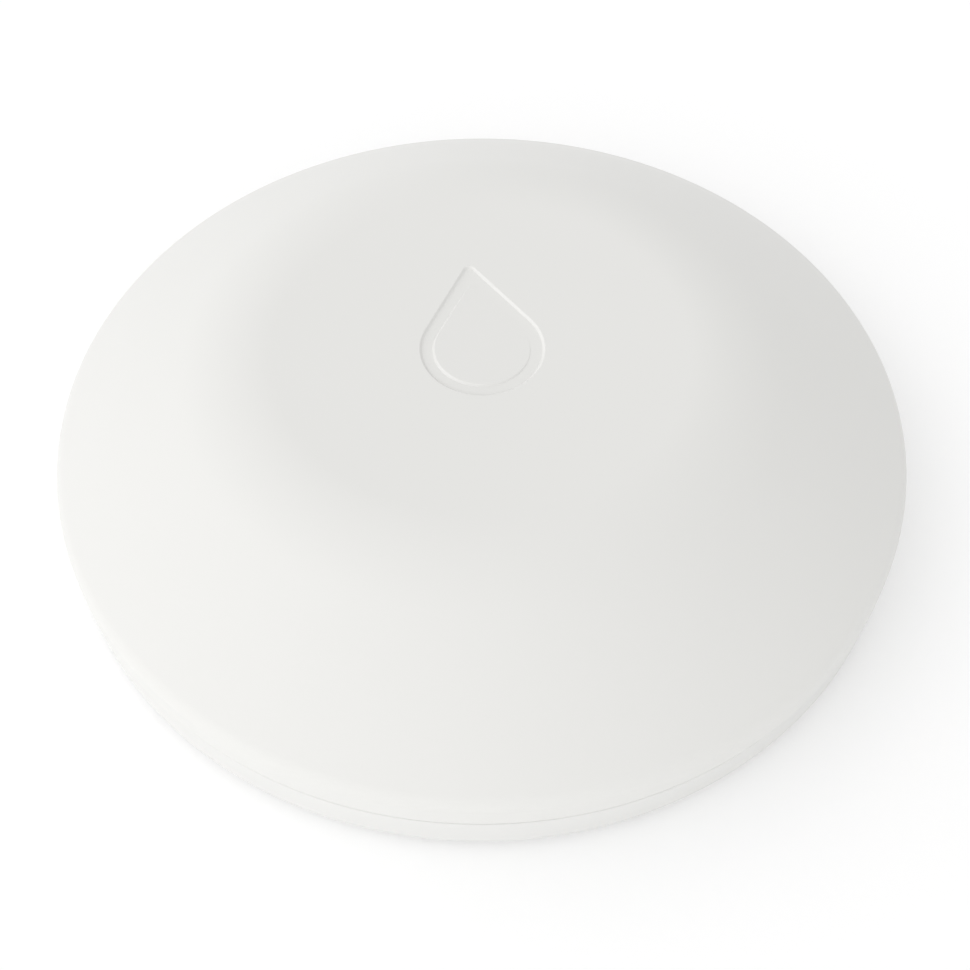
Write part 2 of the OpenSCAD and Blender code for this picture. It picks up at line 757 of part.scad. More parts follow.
module status_led() {
    color([0.95, 0.93, 0.8]) translate([0, 0, board_top]) translate([-led_l / 2, -led_w / 2, 0])
        cube([led_l, led_w, led_h]);
}

module light_guide() {
    neck_z = guide_top - guide_head_h;
    color([0.8, 0.87, 0.9]) rotate_extrude() polygon([
        [0, led_z + guide_gap], [guide_foot_r, led_z + guide_gap],
        [guide_head_r, neck_z], [guide_head_r, guide_top], [0, guide_top]
    ]);
}

module buzzer_case() {
    height = board_z - buzzer_z;
    disc_z = height / 2;
    in_r = buzzer_d / 2 - buzzer_wall;
    color([0.12, 0.12, 0.13]) translate([-buzzer_circle_r, 0, buzzer_z]) rotate_extrude() difference() {
        square([buzzer_d / 2, height]);
        translate([0, -eps]) square([buzzer_port_d / 2, height / 2]);
        translate([0, buzzer_wall]) square([in_r - buzzer_wall, height - 2 * buzzer_wall]);
        translate([0, disc_z]) square([in_r, height - disc_z - buzzer_wall]);
    }
}

module buzzer_disc() {
    height = board_z - buzzer_z;
    color([0.8, 0.65, 0.3]) translate([-buzzer_circle_r, 0, buzzer_z + height / 2])
        cylinder(r = buzzer_d / 2 - buzzer_wall - fit_clear, h = disc_t);
}

module buzzer_pins() {
    color([0.75, 0.75, 0.77]) for (side = [-1, 1])
        translate([-buzzer_circle_r, side * pin_pitch / 2, board_z]) cylinder(d = pin_d, h = board_t + eps);
}

module sound_membrane() {
    color([0.2, 0.2, 0.21]) translate([-buzzer_circle_r, 0, floor_z]) cylinder(d = membrane_d, h = membrane_t);
}

module pairing_button() {
    collar_z = floor_z + slide_clear;
    color([0.8, 0.8, 0.8]) translate([foot_circle_r, 0, 0]) difference() {
        union() {
            translate([0, 0, button_z]) cylinder(d = button_d, h = collar_z - button_z + eps);
            translate([0, 0, collar_z]) cylinder(r = button_d / 2 + button_collar, h = button_collar_h);
            translate([0, 0, collar_z]) cylinder(d = plunger_d, h = plunger_z - collar_z);
        }
        // Groove of the O-ring
        translate([0, 0, button_groove_z - button_seal_d / 2 - fit_clear]) difference() {
            cylinder(r = button_d, h = button_seal_d + 2 * fit_clear);
            translate([0, 0, -eps])
                cylinder(r = button_seal_r - button_seal_d / 2 - fit_clear, h = button_seal_d + 3 * eps);
        }
    }
}

module button_seal() {
    color([0.15, 0.15, 0.16]) translate([foot_circle_r, 0, 0])
        o_ring(button_seal_r, button_seal_d, button_groove_z);
}

module switch_case() {
    room_r = plunger_d / 2 + plunger_collar + slide_clear;
    color([0.14, 0.14, 0.15]) translate([foot_circle_r, 0, switch_z]) difference() {
        translate([-switch_w / 2, -switch_w / 2, 0]) cube([switch_w, switch_w, switch_h]);
        translate([0, 0, -eps]) cylinder(d = plunger_d + 2 * slide_clear, h = switch_h / 2);
        translate([0, 0, switch_wall]) cylinder(r = room_r, h = switch_h - 2 * switch_wall);
    }
}

module switch_plunger() {
    color([0.85, 0.85, 0.83]) translate([foot_circle_r, 0, 0]) {
        translate([0, 0, plunger_z]) cylinder(d = plunger_d, h = plunger_collar_z - plunger_z + plunger_collar_h);
        translate([0, 0, plunger_collar_z])
            cylinder(r = plunger_d / 2 + plunger_collar, h = plunger_collar_h);
    }
}

top_cover();
base_shell();
cover_gasket();
cover_screws();
contact_feet();
contact_seals();
contact_posts();
battery_door();
door_seal();
battery_cell();
battery_clip();
battery_leaf();
circuit_board();
radio_board();
radio_shield();
radio_antenna();
driver_chip();
chip_leads();
power_coil();
storage_capacitor();
chip_parts();
status_led();
light_guide();
buzzer_case();
buzzer_disc();
buzzer_pins();
sound_membrane();
pairing_button();
button_seal();
switch_case();
switch_plunger();
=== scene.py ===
"""Looks of the round white water leak sensor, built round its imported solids.

Every length is in metres. The origin is on the floor under the sensor's middle, Z is up and the drop
figure on the flat top points along +Y.
"""

import logging
import math
from collections.abc import Iterable
from dataclasses import dataclass
from enum import Enum
from typing import ClassVar

import bmesh
import bpy
from bmesh.types import BMEdge, BMesh, BMVert
from mathutils import Matrix, Vector


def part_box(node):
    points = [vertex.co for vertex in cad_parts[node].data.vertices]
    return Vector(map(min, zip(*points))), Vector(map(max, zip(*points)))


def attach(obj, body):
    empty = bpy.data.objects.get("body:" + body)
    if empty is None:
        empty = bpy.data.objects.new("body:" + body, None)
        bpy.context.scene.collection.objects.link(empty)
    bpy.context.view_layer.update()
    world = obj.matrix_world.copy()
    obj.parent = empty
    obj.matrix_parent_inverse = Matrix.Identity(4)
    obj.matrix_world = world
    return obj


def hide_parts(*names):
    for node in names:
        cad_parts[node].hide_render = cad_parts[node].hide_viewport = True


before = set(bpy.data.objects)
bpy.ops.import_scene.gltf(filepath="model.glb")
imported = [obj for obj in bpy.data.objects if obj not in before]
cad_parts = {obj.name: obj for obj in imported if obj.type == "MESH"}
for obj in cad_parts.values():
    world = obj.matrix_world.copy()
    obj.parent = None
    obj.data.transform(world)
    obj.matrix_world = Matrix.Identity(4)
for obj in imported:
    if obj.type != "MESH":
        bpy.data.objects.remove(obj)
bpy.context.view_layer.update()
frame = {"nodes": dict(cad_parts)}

LOG = logging.getLogger("leak_sensor")
MM = 0.001
FULL_TURN = 2 * math.pi
HALF_DEGREES = 180.0
QUARTER_DEGREES = 90.0
MIDDLE = (0.0, 0.0, 0.0)
ALONG_Y = (0.0, 1.0, 0.0)
ALONG_Z = (0.0, 0.0, 1.0)
WHITE = (1.0, 1.0, 1.0, 1.0)

# Points nearer to each other than this are merged, in each new shape and then in each finished piece
WELD = 1e-6
CLEAN = 5e-7
# Edges that turn more than this stay crisp
SHARP_ANGLE = math.radians(38)
# A mouth's rounding starts this share of its radius below the face, so that the two cross
LIP_SINK = 0.08
LIP_STEPS = 5
# Angles of the points on a quarter of a circle
ROUNDING = [math.pi / 2 * step / LIP_STEPS for step in range(LIP_STEPS + 1)]
# Pieces round wide rings, round turned pieces, round pillars and holes, and round small holes
RING_STEPS = 256
TURNED_STEPS = 96
HOLE_STEPS = 64
SMALL_HOLE_STEPS = 32

# Feet, screws and bayonet lugs come in sets. Their angles are in degrees from +X
SET_COUNT = 3
FOOT_START = 90.0
SCREW_START = 30.0
LUG_START = 90.0
DOOR_TURN = 45.0
NOTCH_ARC = 25.0
RIB_ARC = 6.0
RIB_STARTS = (103.0, 26.0)
# Dimples that show the door's locked and open places
MARK_R = 0.6 * MM
MARK_DEPTH = 0.3 * MM

# Length after which Blender's wave pattern repeats at a scale of 1
WAVE_LENGTH = 0.314
# Attribute that holds each point's place from the axis it was turned on
LATHE = "lathe"

Colour = tuple[float, float, float]
Span = tuple[float, float]
Socket = bpy.types.NodeSocket


class Body(Enum):
    """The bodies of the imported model."""

    HOUSING = "housing"
    DOOR = "door"
    BUTTON = "button"


class Carving(Enum):
    """What one closed shape does to another."""

    CUT = "DIFFERENCE"
    JOIN = "UNION"
    KEEP_COMMON = "INTERSECT"


class Reckoning(Enum):
    """What a node works out from two strengths."""

    LARGER = "MAXIMUM"
    TOTAL = "ADD"
    PRODUCT = "MULTIPLY"
    IS_OVER = "GREATER_THAN"


class HalfSection:
    """A half section that is drawn in the XZ plane and then turned about the Z axis."""

    def __init__(self, x: float, z: float) -> None:
        """Start the section at a point.

        Args:
            x: Distance of the first point from the axis.
            z: Height of the first point.
        """
        self.mesh: BMesh = bmesh.new()
        self.pen: BMVert = self.mesh.verts.new((x, 0.0, z))
        self.first: BMVert = self.pen

    def line(self, x: float, z: float) -> "HalfSection":
        """Draw a straight stretch.

        Args:
            x: Distance of its end from the axis.
            z: Height of its end.

        Returns:
            The section itself, so that stretches can follow each other.
        """
        drawn = bmesh.ops.extrude_vert_indiv(self.mesh, verts=[self.pen])
        self.pen = drawn["verts"][0]
        self.pen.co = (x, 0.0, z)
        return self

    def arc(self, x: float, z: float, turn: float, steps: int) -> "HalfSection":
        """Draw an arc round a middle point.

        Args:
            x: Distance of the arc's middle from the axis.
            z: Height of the arc's middle.
            turn: Angle in degrees, clockwise as seen with X to the right and Z up.
            steps: Straight pieces that the arc is made of.

        Returns:
            The section itself.
        """
        drawn = bmesh.ops.spin(
            self.mesh,
            geom=[self.pen],
            cent=(x, 0.0, z),
            axis=ALONG_Y,
            angle=math.radians(turn),
            steps=steps,
        )
        self.pen = next(item for item in drawn["geom_last"] if isinstance(item, BMVert))
        return self

    def closed(self) -> "HalfSection":
        """Join the last point to the first one."""
        self.mesh.edges.new((self.pen, self.first))
        return self

    def turned(self, steps: int) -> BMesh:
        """Turn the section right round the Z axis.

        Args:
            steps: Pieces that the turn is made of.

        Returns:
            The turned shape, with its faces outwards.
        """
        everything = self.mesh.verts[:] + self.mesh.edges[:]
        bmesh.ops.spin(
            self.mesh,
            geom=everything,
            cent=MIDDLE,
            axis=ALONG_Z,
            angle=FULL_TURN,
            steps=steps,
            use_merge=True,
        )
        return mended(self.mesh)

    def turned_part(self, start: float, arc: float, steps: int) -> BMesh:
        """Turn a closed section through part of a turn and shut both ends.

        Args:
            start: Angle in degrees, from +X, at which the part starts.
            arc: Angle in degrees that it covers.
            steps: Pieces that the turn is made of.

        Returns:
            The closed part of a ring.
        """
        bmesh.ops.contextual_create(self.mesh, geom=self.mesh.edges[:])
        swung(self.mesh, start)
        first_end = self.mesh.faces[:]
        everything = self.mesh.verts[:] + self.mesh.edges[:] + first_end
        bmesh.ops.spin(
            self.mesh,
            geom=everything,
            cent=MIDDLE,
            axis=ALONG_Z,
            angle=math.radians(arc),
            steps=steps,
        )
        bmesh.ops.holes_fill(self.mesh, edges=[edge for edge in self.mesh.edges if edge.is_boundary])
        return mended(self.mesh)


class PlanLoop:
    """A closed outline that is drawn in a flat plane over the floor."""

    def __init__(self, mesh: BMesh, x: float, y: float, z: float) -> None:
        """Start the outline at a point.

        Args:
            mesh: The shape that the outline becomes part of.
            x: First point along X.
            y: First point along Y.
            z: Height of the plane.
        """
        self.mesh = mesh
        self.z = z
        self.pen: BMVert = mesh.verts.new((x, y, z))
        self.first: BMVert = self.pen
        self.edges: list[BMEdge] = []

    def line(self, x: float, y: float, parts: int) -> "PlanLoop":
        """Draw a straight stretch in equal parts.

        Args:
            x: Its end along X.
            y: Its end along Y.
            parts: Pieces that it is made of.

        Returns:
            The outline itself.
        """
        begin = self.pen.co.copy()
        end = Vector((x, y, self.z))
        for part in range(1, parts + 1):
            drawn = bmesh.ops.extrude_vert_indiv(self.mesh, verts=[self.pen])
            self.pen = drawn["verts"][0]
            self.pen.co = begin.lerp(end, part / parts)
            self.edges += drawn["edges"]
        return self

    def arc(self, x: float, y: float, turn: float, steps: int) -> "PlanLoop":
        """Draw an arc round a middle point.

        Args:
            x: Middle along X.
            y: Middle along Y.
            turn: Angle in degrees, anticlockwise from above.
            steps: Straight pieces that the arc is made of.

        Returns:
            The outline itself.
        """
        bmesh.ops.spin(
            self.mesh,
            geom=[self.pen],
            cent=(x, y, self.z),
            axis=ALONG_Z,
            angle=math.radians(turn),
            steps=steps,
        )
        for _ in range(steps):
            edge = next(edge for edge in self.pen.link_edges if edge not in self.edges[-1:])
            self.edges.append(edge)
            self.pen = edge.other_vert(self.pen)
        return self

    def closed(self) -> list[BMEdge]:
        """Draw the last edge back to the first point.

        Returns:
            The edges of the closed outline.
        """
        return self.edges + [self.mesh.edges.new((self.pen, self.first))]


def mended(mesh: BMesh) -> BMesh:
    """Merge points that lie on each other and turn every face outwards.

    Args:
        mesh: A shape that was just put together.

    Returns:
        The same shape.
    """
    bmesh.ops.remove_doubles(mesh, verts=mesh.verts[:], dist=WELD)
    bmesh.ops.recalc_face_normals(mesh, faces=mesh.faces[:])
    return mesh


def swung(mesh: BMesh, angle: float) -> BMesh:
    """Turn a whole shape about the Z axis.

    Args:
        mesh: The shape.
        angle: Angle in degrees, anticlockwise from above.

    Returns:
        The same shape.
    """
    turn_by = Matrix.Rotation(math.radians(angle), 3, "Z")
    bmesh.ops.rotate(mesh, verts=mesh.verts[:], cent=MIDDLE, matrix=turn_by)
    return mesh


def gathered(parts: Iterable[BMesh]) -> BMesh:
    """Put several shapes side by side into one.

    Args:
        parts: The shapes, which are used up.

    Returns:
        One shape that holds them all.
    """
    whole = bmesh.new()
    for part in parts:
        sheet = bpy.data.meshes.new("part")
        part.to_mesh(sheet)
        part.free()
        whole.from_mesh(sheet)
        bpy.data.meshes.remove(sheet)
    return whole


def loose_object(name: str, mesh: BMesh) -> bpy.types.Object:
    """Make an object of a shape and put it into the scene.

    Args:
        name: Name of the object and of its mesh.
        mesh: The shape, used up.

    Returns:
        The new object.
    """
    sheet = bpy.data.meshes.new(name)
    mesh.to_mesh(sheet)
    mesh.free()
    made = bpy.data.objects.new(name, sheet)
    bpy.context.scene.collection.objects.link(made)
    return made


def carved(body: BMesh, tool: BMesh, work: Carving) -> BMesh:
    """Cut, join or keep the common part of two closed shapes.

    Args:
        body: The shape that is worked on, used up.
        tool: The shape that works on it, used up.
        work: What is done.

    Returns:
        The finished shape.
    """
    target = loose_object("work_piece", body)
    other = loose_object("work_tool", tool)
    step = target.modifiers.new("carving", "BOOLEAN")
    step.operation = work.value
    step.solver = "EXACT"
    step.object = other
    bpy.context.view_layer.update()
    done = bmesh.new()
    done.from_object(target, bpy.context.evaluated_depsgraph_get())
    for spent in (target, other):
        sheet = spent.data
        bpy.data.objects.remove(spent)
        bpy.data.meshes.remove(sheet)
    return done


def set_round(mesh: BMesh, radius: float, start: float, count: int) -> BMesh:
    """Move a shape out to a circle and repeat it at equal steps round the Z axis.

    Args:
        mesh: A shape that stands on the axis.
        radius: Radius of the circle.
        start: Angle in degrees, from +X, of the first copy.
        count: Copies in all.

    Returns:
        The same shape with all its copies.
    """
    bmesh.ops.translate(mesh, verts=mesh.verts[:], vec=(radius, 0.0, 0.0))
    swung(mesh, start)
    if count > 1:
        bmesh.ops.spin(
            mesh,
            geom=mesh.verts[:] + mesh.edges[:] + mesh.faces[:],
            cent=MIDDLE,
            axis=ALONG_Z,
            angle=FULL_TURN * (count - 1) / count,
            steps=count - 1,
            use_duplicate=True,
        )
    return mesh


def level_way(angle: float) -> Vector:
    """Give the level direction at an angle in degrees from +X."""
    turn = math.radians(angle)
    return Vector((math.cos(turn), math.sin(turn), 0.0))


def disc(radius: float, low: float, high: float, steps: int) -> BMesh:
    """Make a plain round disc on the Z axis.

    Args:
        radius: Its radius.
        low: Height of its lower face.
        high: Height of its upper face.
        steps: Pieces round the axis.

    Returns:
        The closed shape.
    """
    section = HalfSection(0.0, low).line(radius, low)
    return section.line(radius, high).line(0.0, high).turned(steps)


def ring_parts(radii: Span, heights: Span, start: float, arc: float, steps: int) -> BMesh:
    """Make a set of equal parts of a ring, spread round the Z axis.

    Args:
        radii: Inner and outer radius.
        heights: Lower and upper end.
        start: Angle in degrees, from +X, at which the first part starts.
        arc: Angle in degrees that each part covers.
        steps: Pieces that each part is made of.

    Returns:
        The closed parts in one shape.
    """
    inner, outer = radii
    low, high = heights
    section = HalfSection(inner, low).line(outer, low).line(outer, high).line(inner, high)
    return set_round(section.closed().turned_part(start, arc, steps), 0.0, 0.0, SET_COUNT)


def stacked(mesh: BMesh, loops: list[list[BMEdge]]) -> BMesh:
    """Join outlines that lie over each other to a closed shape.

    Args:
        mesh: The shape that holds the outlines.
        loops: Edges of each outline, in order of height.

    Returns:
        The same shape.
    """
    for one, other in zip(loops, loops[1:]):
        bmesh.ops.bridge_loops(mesh, edges=one + other)
    for end in (loops[0], loops[-1]):
        bmesh.ops.contextual_create(mesh, geom=end)
    return mended(mesh)


def hole_tool(low: float, stages: list[Span], lip: float, steps: int) -> BMesh:
    """Make a cutter for a stepped round hole in a face that looks down, with a rounded mouth.

    Args:
        low: Height of the face that the hole starts in.
        stages: Radius and upper end of each step, from the mouth inwards.
        lip: Rounding of the mouth.
        steps: Pieces round the hole.

    Returns:
        The closed cutter, standing on the Z axis.
    """
    mouth_r = stages[0][0] + lip
    mouth_z = low - lip * LIP_SINK
    section = HalfSection(0.0, low - lip)
    section.line(mouth_r, low - lip)
    section.line(mouth_r, mouth_z)
    section.arc(mouth_r, mouth_z + lip, QUARTER_DEGREES, LIP_STEPS)
    end = mouth_z + lip
    for radius, stage_end in stages:
        section.line(radius, end)
        section.line(radius, stage_end)
        end = stage_end
    section.line(0.0, end)
    return section.turned(steps)


@dataclass(frozen=True)
class SlotTool:
    """A cutter for a straight slot along X, with rounded corners and a rounded mouth."""

    length: float
    width: float
    depth: float
    corner: float
    lip: float
    corner_steps: int = 8

    def outline(self, mesh: BMesh, grown: float, z: float) -> list[BMEdge]:
        """Draw the slot's outline.

        Args:
            mesh: The shape that gets the outline.
            grown: Distance outside the slot's own outline.
            z: Height of the outline.

        Returns:
            The edges of the closed outline.
        """
        round_r = self.corner + grown
        far_x = self.length / 2 + grown
        far_y = self.width / 2 + grown
        x = far_x - round_r
        y = far_y - round_r
        steps = self.corner_steps
        drawn = steps - 1
        loop = PlanLoop(mesh, far_x, -y, z)
        loop.line(far_x, y, 1).arc(x, y, QUARTER_DEGREES, steps)
        loop.line(-x, far_y, 1).arc(-x, y, QUARTER_DEGREES, steps)
        loop.line(-far_x, -y, 1).arc(-x, -y, QUARTER_DEGREES, steps)
        loop.line(x, -far_y, 1).arc(x, -y, QUARTER_DEGREES * drawn / steps, drawn)
        return loop.closed()

    def shape(self, low: float) -> BMesh:
        """Make the cutter.

        Args:
            low: Height of the face that the slot is cut into.

        Returns:
            The closed cutter, in the middle of the Z axis.
        """
        mesh = bmesh.new()
        mouth_z = low - self.lip * LIP_SINK
        loops = [self.outline(mesh, self.lip, low - self.lip)]
        for angle in ROUNDING:
            rise = self.lip * (1 - math.cos(angle))
            loops.append(self.outline(mesh, self.lip * (1 - math.sin(angle)), mouth_z + rise))
        loops.append(self.outline(mesh, 0.0, low + self.depth))
        return stacked(mesh, loops)


class NodeSheet:
    """The nodes of a material or of the world."""

    def __init__(self, tree: bpy.types.NodeTree) -> None:
        """Take up a node tree.

        Args:
            tree: The tree that new nodes go into.
        """
        self.tree = tree

    def add(self, kind: str, **settings: object) -> bpy.types.Node:
        """Add a node.

        Args:
            kind: Blender's name of the node's type.
            settings: Its own properties, or values of its inputs by name with _ for a space.

        Returns:
            The new node.
        """
        node = self.tree.nodes.new(kind)
        for key, value in settings.items():
            if hasattr(node, key):
                setattr(node, key, value)
            else:
                node.inputs[key.replace("_", " ")].default_value = value
        return node

    def join(self, source: Socket, target: Socket) -> None:
        """Link an output to an input."""
        self.tree.links.new(source, target)

    def reckoned(self, work: Reckoning, one: Socket, other: Socket | float) -> Socket:
        """Work something out from two strengths.

        Args:
            work: What is worked out.
            one: The first strength.
            other: The second strength, or a fixed value.

        Returns:
            The result.
        """
        node = self.add("ShaderNodeMath", operation=work.value)
        self.join(one, node.inputs[0])
        if isinstance(other, float):
            node.inputs[1].default_value = other
        else:
            self.join(other, node.inputs[1])
        return node.outputs["Value"]


class ShaderSheet(NodeSheet):
    """The node sheet of one new material."""

    def __init__(self, name: str) -> None:
        """Make a material that has its main shader and its output.

        Args:
            name: Name of the material.
        """
        self.material = bpy.data.materials.new(name)
        self.material.use_nodes = True
        super().__init__(self.material.node_tree)
        self.shader = self.first("BSDF_PRINCIPLED")

    def first(self, kind: str) -> bpy.types.Node:
        """Give the first node of a type."""
        return next(node for node in self.tree.nodes if node.type == kind)

    def place(self) -> Socket:
        """Give the piece's own object coordinates."""
        return self.add("ShaderNodeTexCoord").outputs["Object"]

    def noise(self, size: float, detail: float, source: Socket) -> Socket:
        """Give an even noise.

        Args:
            size: Size of its grains.
            detail: Finer layers in it.
            source: Coordinates that it follows.

        Returns:
            Its strength, from 0 to 1.
        """
        node = self.add("ShaderNodeTexNoise", Scale=1 / size, Detail=detail)
        self.join(source, node.inputs["Vector"])
        return node.outputs["Fac"]

    def between(self, strength: Socket, low: float, high: float) -> Socket:
        """Spread a 0 to 1 strength between two values.

        Args:
            strength: The strength.
            low: Value at 0.
            high: Value at 1.

        Returns:
            The value.
        """
        node = self.add("ShaderNodeMapRange", To_Min=low, To_Max=high)
        self.join(strength, node.inputs["Value"])
        return node.outputs["Result"]

    def tint(self, strength: Socket, dark: Colour, light: Colour) -> Socket:
        """Mix two colours.

        Args:
            strength: Share of the light colour.
            dark: Colour at 0.
            light: Colour at 1.

        Returns:
            The mixed colour.
        """
        node = self.add("ShaderNodeMix", data_type="RGBA")
        self.join(strength, node.inputs["Factor"])
        node.inputs["A"].default_value = (*dark, 1.0)
        node.inputs["B"].default_value = (*light, 1.0)
        return node.outputs["Result"]

    def relief(self, height: Socket, depth: float, strength: float) -> None:
        """Let a height pattern stand out of the surface.

        Args:
            height: The pattern, from 0 to 1.
            depth: Its real depth.
            strength: Share of it that is used.
        """
        node = self.add("ShaderNodeBump", Strength=strength, Distance=depth)
        self.join(height, node.inputs["Height"])
        self.join(node.outputs["Normal"], self.shader.inputs["Normal"])

    def colour(self, source: Socket) -> None:
        """Use a colour pattern as the base colour."""
        self.join(source, self.shader.inputs["Base Color"])

    def roughness(self, source: Socket) -> None:
        """Use a pattern as the roughness."""
        self.join(source, self.shader.inputs["Roughness"])


def shaded(colour: Colour, factor: float) -> Colour:
    """Give a lighter or darker tone of a colour."""
    return tuple(min(part * factor, 1.0) for part in colour)


@dataclass(frozen=True)
class MouldedPlastic:
    """Moulded plastic with a fine spark-eroded grain and faint clouds of tone."""

    name: str
    colour: Colour
    roughness: float = 0.42
    roughness_range: float = 0.05
    shine: float = 0.45
    grain: float = 0.11 * MM
    grain_detail: float = 2.0
    grain_depth: float = 0.008 * MM
    grain_strength: float = 0.5
    cloud: float = 14 * MM
    cloud_detail: float = 3.0
    cloud_range: float = 0.006

    def material(self) -> bpy.types.Material:
        """Make the finish.

        Returns:
            Its new material.
        """
        sheet = ShaderSheet(self.name)
        place = sheet.place()
        clouds = sheet.noise(self.cloud, self.cloud_detail, place)
        light = shaded(self.colour, 1 + self.cloud_range)
        dark = shaded(self.colour, 1 - self.cloud_range)
        sheet.colour(sheet.tint(clouds, dark, light))
        grain = sheet.noise(self.grain, self.grain_detail, place)
        smooth = self.roughness - self.roughness_range
        rough = self.roughness + self.roughness_range
        sheet.roughness(sheet.between(grain, smooth, rough))
        sheet.relief(grain, self.grain_depth, self.grain_strength)
        sheet.shader.inputs["Specular IOR Level"].default_value = self.shine
        return sheet.material


@dataclass(frozen=True)
class TurnedMetal:
    """Metal turned on a lathe, with fine rings round each piece's own axis."""

    name: str
    colour: Colour
    roughness: float = 0.28
    polished: float = 0.06
    dulled: float = 0.08
    ring: float = 0.12 * MM
    ring_depth: float = 0.004 * MM
    ring_strength: float = 0.6
    wobble: float = 0.6
    wobble_detail: float = 2.0
    wear: float = 0.6 * MM
    wear_detail: float = 4.0
    worn_tone: float = 0.9

    def material(self) -> bpy.types.Material:
        """Make the finish, which reads the mesh's own lathe attribute.

        Returns:
            Its new material.
        """
        sheet = ShaderSheet(self.name)
        lathe = sheet.add("ShaderNodeAttribute", attribute_name=LATHE).outputs["Vector"]
        rings = sheet.add(
            "ShaderNodeTexWave",
            wave_type="RINGS",
            rings_direction="Z",
            Scale=WAVE_LENGTH / self.ring,
            Distortion=self.wobble,
            Detail=self.wobble_detail,
        )
        sheet.join(lathe, rings.inputs["Vector"])
        wear = sheet.noise(self.wear, self.wear_detail, lathe)
        sheet.colour(sheet.tint(wear, shaded(self.colour, self.worn_tone), self.colour))
        sheet.roughness(sheet.between(wear, self.roughness - self.polished, self.roughness + self.dulled))
        sheet.relief(rings.outputs["Fac"], self.ring_depth, self.ring_strength)
        sheet.shader.inputs["Metallic"].default_value = 1.0
        return sheet.material


@dataclass(frozen=True)
class SheetMetal:
    """Plated or rolled sheet metal with a fine grain along one way."""

    name: str
    colour: Colour
    roughness: float = 0.32
    polished: float = 0.08
    dulled: float = 0.1
    grain: float = 0.08 * MM
    grain_detail: float = 3.0
    grain_depth: float = 0.003 * MM
    grain_strength: float = 0.5
    stretch: float = 12.0
    stain: float = 1.5 * MM
    stain_detail: float = 4.0
    stain_tone: float = 0.86

    def material(self) -> bpy.types.Material:
        """Make the finish.

        Returns:
            Its new material.
        """
        sheet = ShaderSheet(self.name)
        mapping = sheet.add("ShaderNodeMapping", Scale=(1.0, 1.0 / self.stretch, 1.0))
        sheet.join(sheet.place(), mapping.inputs["Vector"])
        lines = sheet.noise(self.grain, self.grain_detail, mapping.outputs["Vector"])
        stains = sheet.noise(self.stain, self.stain_detail, sheet.place())
        sheet.colour(sheet.tint(stains, shaded(self.colour, self.stain_tone), self.colour))
        sheet.roughness(sheet.between(lines, self.roughness - self.polished, self.roughness + self.dulled))
        sheet.relief(lines, self.grain_depth, self.grain_strength)
        sheet.shader.inputs["Metallic"].default_value = 1.0
        return sheet.material


@dataclass(frozen=True)
class SealRubber:
    """Soft moulded rubber with a fine tooth and a little dust."""

    name: str
    colour: Colour
    roughness: float = 0.72
    rubbed: float = 0.08
    dulled: float = 0.1
    dust: float = 0.9 * MM
    dust_detail: float = 5.0
    clean_tone: float = 0.85
    dusty_tone: float = 1.25
    tooth: float = 0.06 * MM
    tooth_detail: float = 2.0
    tooth_depth: float = 0.004 * MM
    tooth_strength: float = 0.6

    def material(self) -> bpy.types.Material:
        """Make the finish.

        Returns:
            Its new material.
        """
        sheet = ShaderSheet(self.name)
        place = sheet.place()
        dust = sheet.noise(self.dust, self.dust_detail, place)
        tooth = sheet.noise(self.tooth, self.tooth_detail, place)
        clean = shaded(self.colour, self.clean_tone)
        dusty = shaded(self.colour, self.dusty_tone)
        sheet.colour(sheet.tint(dust, clean, dusty))
        sheet.roughness(sheet.between(dust, self.roughness - self.rubbed, self.roughness + self.dulled))
        sheet.relief(tooth, self.tooth_depth, self.tooth_strength)
        return sheet.material


@dataclass(frozen=True)
class BoardLacquer:
    """Solder lacquer over copper: tracks show through as paler lines."""

    name: str
    colour: Colour
    track: Colour
    cell: float = 2.2 * MM
    disorder: float = 0.55
    track_from: float = 0.05
    track_to: float = 0.09
    track_depth: float = 0.02 * MM
    track_strength: float = 0.5
    flow: float = 0.8 * MM
    flow_detail: float = 3.0
    smoothest: float = 0.22
    roughest: float = 0.36
    coat: float = 0.4

    def material(self) -> bpy.types.Material:
        """Make the finish.

        Returns:
            Its new material.
        """
        sheet = ShaderSheet(self.name)
        place = sheet.place()
        tracks = sheet.add(
            "ShaderNodeTexVoronoi",
            feature="DISTANCE_TO_EDGE",
            Scale=1 / self.cell,
            Randomness=self.disorder,
        )
        sheet.join(place, tracks.inputs["Vector"])
        lines = sheet.add(
            "ShaderNodeMapRange",
            From_Min=self.track_from,
            From_Max=self.track_to,
            To_Min=1.0,
            To_Max=0.0,
        )
        sheet.join(tracks.outputs["Distance"], lines.inputs["Value"])
        sheet.colour(sheet.tint(lines.outputs["Result"], self.colour, self.track))
        flow = sheet.noise(self.flow, self.flow_detail, place)
        sheet.roughness(sheet.between(flow, self.smoothest, self.roughest))
        sheet.relief(lines.outputs["Result"], self.track_depth, self.track_strength)
        sheet.shader.inputs["Coat Weight"].default_value = self.coat
        return sheet.material


@dataclass(frozen=True)
class CastBody:
    """Cast resin, ceramic or ferrite with fine specks."""

    name: str
    colour: Colour
    roughness: float = 0.55
    roughness_range: float = 0.07
    speck: float = 0.15 * MM
    speck_detail: float = 4.0
    speck_depth: float = 0.006 * MM
    speck_strength: float = 0.5
    contrast: float = 0.18

    def material(self) -> bpy.types.Material:
        """Make the finish.

        Returns:
            Its new material.
        """
        sheet = ShaderSheet(self.name)
        specks = sheet.noise(self.speck, self.speck_detail, sheet.place())
        dark = shaded(self.colour, 1 - self.contrast)
        light = shaded(self.colour, 1 + self.contrast)
        sheet.colour(sheet.tint(specks, dark, light))
        smooth = self.roughness - self.roughness_range
        rough = self.roughness + self.roughness_range
        sheet.roughness(sheet.between(specks, smooth, rough))
        sheet.relief(specks, self.speck_depth, self.speck_strength)
        return sheet.material


